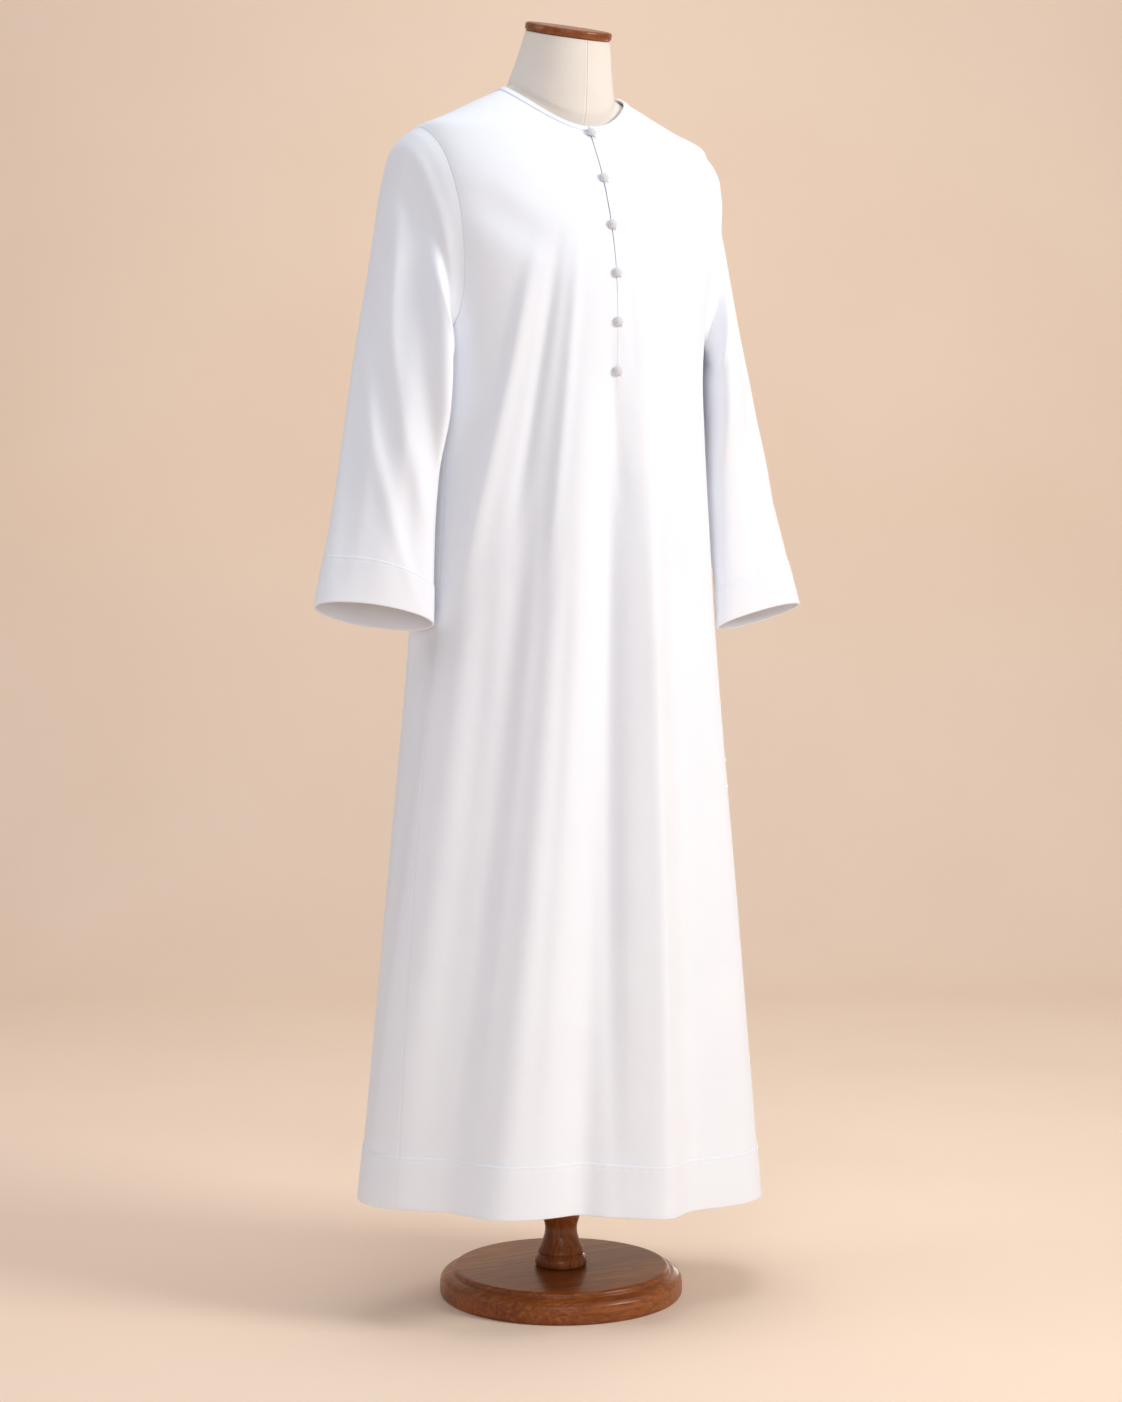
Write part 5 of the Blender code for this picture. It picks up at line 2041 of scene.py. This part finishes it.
@dataclass
class Stand:
    """The turned wood: the neck's cap, the column and the stepped base.

    Each profile lists its corners down the outside, as radius and height in mm.
    """

    form: DressForm
    finishes: Finishes
    column: tuple[tuple[float, float], ...] = (
        (19.0, 769.7), (19.0, 210.0), (22.5, 206.0), (24.0, 200.0), (22.5, 194.0), (20.0, 190.0),
        (21.5, 150.0), (24.5, 120.0), (25.8, 108.0), (24.5, 100.0), (21.8, 93.0), (21.0, 86.0),
        (22.2, 77.0), (26.2, 66.0), (30.8, 58.0), (31.0, 55.5), (29.0, 53.0), (32.5, 50.5),
        (34.5, 46.0), (34.5, 40.0), (33.0, 37.3),
    )
    base: tuple[tuple[float, float], ...] = (
        (139.0, 37.0), (142.5, 36.2), (144.0, 34.0), (144.0, 31.0), (150.0, 30.0), (156.0, 27.5),
        (159.8, 23.0), (161.0, 17.0), (161.0, 4.0), (158.5, 0.0),
    )
    cap: tuple[tuple[float, float], ...] = (
        (54.0, 11.0), (56.2, 9.8), (57.0, 7.8), (57.0, 3.4), (56.2, 1.2), (54.5, 0.0),
    )
    cap_gap: float = 0.5 * MM

    def profile(self, points: tuple[tuple[float, float], ...], radius: float) -> Array:
        """A closed half profile in metres with its corners rounded."""
        table = np.array(((0.0, points[0][1]), *points, (0.0, points[-1][1]))) * MM
        return rounded(table, radius)

    def make(self) -> Pieces:
        """Build the three turned pieces.

        Returns:
            The pieces by name.
        """
        top = self.form.neck[-1]
        lean = math.atan2(top.drop, (top.front + top.back) / 2.0)
        up = np.array((0.0, -math.sin(lean), math.cos(lean)))
        seat = np.array((0.0, -(top.front - top.back) / 2.0, top.height)) + up * self.cap_gap
        disc, post = self.finishes.base_wood, self.finishes.turned_wood
        turned = {
            "neck_cap": (placed(turned_grid(self.profile(self.cap, 1.5 * MM), 96), seat, up), disc),
            "column": (turned_grid(self.profile(self.column, 4.0 * MM), 96), post),
            "base": (turned_grid(self.profile(self.base, 1.2 * MM), 160), disc),
        }
        made = {}
        for node, (patch, wood) in turned.items():
            made[node] = build("turned_" + node, [patch], wood, weld=True)
            finish_piece(made[node], "turned_wood", node)
        return made


# --- the cloth's cut ------------------------------------------------------------------


@dataclass(frozen=True)
class Cut:
    """A cloth piece's flat size before it was sewn: width, length and area, and how it is held."""

    node: str
    width: float
    length: float
    area: float
    held: str = "draped"
    rests_on: str = "linen_dress_form"


# --- studio ----------------------------------------------------------------------------


@dataclass(frozen=True)
class Lamp:
    """A square area light: degrees round from the front and up, metres off and across, and watts."""

    name: str
    turn: float
    rise: float
    distance: float
    size: float
    power: float
    tint: str
    spread: float = 180.0
    faces_wall: bool = False


@dataclass
class Studio:
    """A pale floor that curves up into a wall, soft lights and the camera."""

    finishes: Finishes
    azimuth: float = -28.0
    distance: float = 3.25
    camera_height: float = 0.90
    robe_middle: float = 0.90
    pitch: float = 1.98
    lens: float = 63.17
    sensor: float = 36.0
    floor_front: float = -6.0
    wall_away: float = 3.8
    wall_top: float = 6.0
    wall_bend: float = 1.2
    wall_aim: float = 3.6
    wall_aim_height: float = 1.08
    half_width: float = 7.0
    glow: float = 0.34
    glow_tint: str = "ECF0F9"
    lamps: tuple[Lamp, ...] = (
        Lamp("key_light", 38.0, 26.0, 3.6, 1.3, 76.0, "FFFDF8"),
        Lamp("camera_light", -28.0, 14.0, 3.6, 1.6, 26.0, "F6F8FF"),
        Lamp("top_light", 0.0, 84.0, 3.6, 1.8, 32.0, "FFFFFF"),
        Lamp("back_light", -108.0, 26.0, 3.6, 1.6, 20.0, "F6F8FF"),
        Lamp("rim_light", 136.0, -4.0, 3.6, 0.8, 1.4, "FFFDF8", spread=32.0),
        Lamp("wall_light", 152.0, 70.0, 2.6, 1.8, 22.0, "FFFFFF", faces_wall=True),
    )

    def away(self) -> Vector:
        """The level direction that the camera looks in."""
        turn = math.radians(self.azimuth)
        return Vector((-math.sin(turn), math.cos(turn), 0.0))

    def floor(self) -> None:
        """A sheet that runs level, then up a quarter circle to a wall behind the object."""
        bend = np.radians(np.linspace(0.0, 90.0, 24))
        start = self.wall_away - self.wall_bend
        back = np.concatenate(([self.floor_front], start + self.wall_bend * np.sin(bend), [self.wall_away]))
        rise = np.concatenate(([0.0], self.wall_bend * (1.0 - np.cos(bend)), [self.wall_top]))
        across = np.linspace(-self.half_width, self.half_width, 3)
        away = np.array(self.away())
        right = np.array((away[1], -away[0], 0.0))
        up = np.array((0.0, 0.0, 1.0))
        points = across[:, None] * right + (back[:, None] * away + rise[:, None] * up)[:, None]
        patch = Patch(points, np.zeros((*points.shape[:2], 2)), flipped=True)
        build("studio_floor", [patch], self.finishes.plaster)

    def light(self, lamp: Lamp) -> None:
        """Hang a lamp round the robe's middle and turn it to the robe or to the wall.

        Args:
            lamp: its place and sizes.
        """
        data = bpy.data.lights.new(lamp.name, "AREA")
        data.spread = math.radians(lamp.spread)
        data.shape = "SQUARE"
        data.size = lamp.size
        data.energy = lamp.power
        data.color = linear(lamp.tint)[:3]
        thing = bpy.data.objects.new(lamp.name, data)
        middle = Vector((0.0, 0.0, self.robe_middle))
        turn, rise = math.radians(lamp.turn), math.radians(lamp.rise)
        level = Vector((math.sin(turn), -math.cos(turn), 0.0)) * math.cos(rise)
        thing.location = middle + (level + Vector((0.0, 0.0, math.sin(rise)))) * lamp.distance
        wall = self.away() * self.wall_aim + Vector((0.0, 0.0, self.wall_aim_height))
        target = wall if lamp.faces_wall else middle
        thing.rotation_euler = (target - thing.location).to_track_quat("-Z", "Y").to_euler()
        bpy.context.scene.collection.objects.link(thing)

    def camera(self) -> None:
        """Stand the camera off at its azimuth, tipped down a little."""
        data = bpy.data.cameras.new("camera")
        data.lens = self.lens
        data.sensor_width = self.sensor
        data.sensor_fit = "AUTO"
        data.dof.use_dof = False
        camera = bpy.data.objects.new("camera", data)
        camera.location = Vector((0.0, 0.0, self.camera_height)) - self.away() * self.distance
        camera.rotation_euler = (math.radians(90.0 - self.pitch), 0.0, math.radians(self.azimuth))
        bpy.context.scene.collection.objects.link(camera)
        bpy.context.scene.camera = camera

    def make(self) -> None:
        """Set the floor, the lights, the surrounding glow and the camera."""
        self.floor()
        for lamp in self.lamps:
            self.light(lamp)
        world = bpy.data.worlds.new("soft_studio_glow")
        world.use_nodes = True
        glow = world.node_tree.nodes["Background"]
        glow.inputs["Color"].default_value = linear(self.glow_tint)
        glow.inputs["Strength"].default_value = self.glow
        bpy.context.scene.world = world
        bpy.context.scene.view_settings.view_transform = "Standard"
        self.camera()


def main() -> None:
    """Dress the whole object and set the studio."""
    logging.basicConfig(level=logging.INFO, format="%(message)s")
    finishes = make_finishes()
    body, edges = RobeBody(), Edges()
    pieces = Panels(body, edges, finishes).make()
    bands = Bands(body, edges, finishes)
    binding = Binding(body, edges, finishes)
    sleeves = Sleeves(body, edges, finishes)
    pieces |= bands.make() | binding.make() | sleeves.make()
    pieces |= Fastening(body, finishes).make()
    sewn = Sewing(finishes).sew(body, binding, bands, sleeves)
    form = DressForm(body, finishes)
    pieces |= form.make() | Stand(form, finishes).make()
    LOG.info("%d pieces, and %d rows of stitches", len(pieces), len(sewn))
    Studio(finishes).make()


if __name__ == "__main__":
    main()
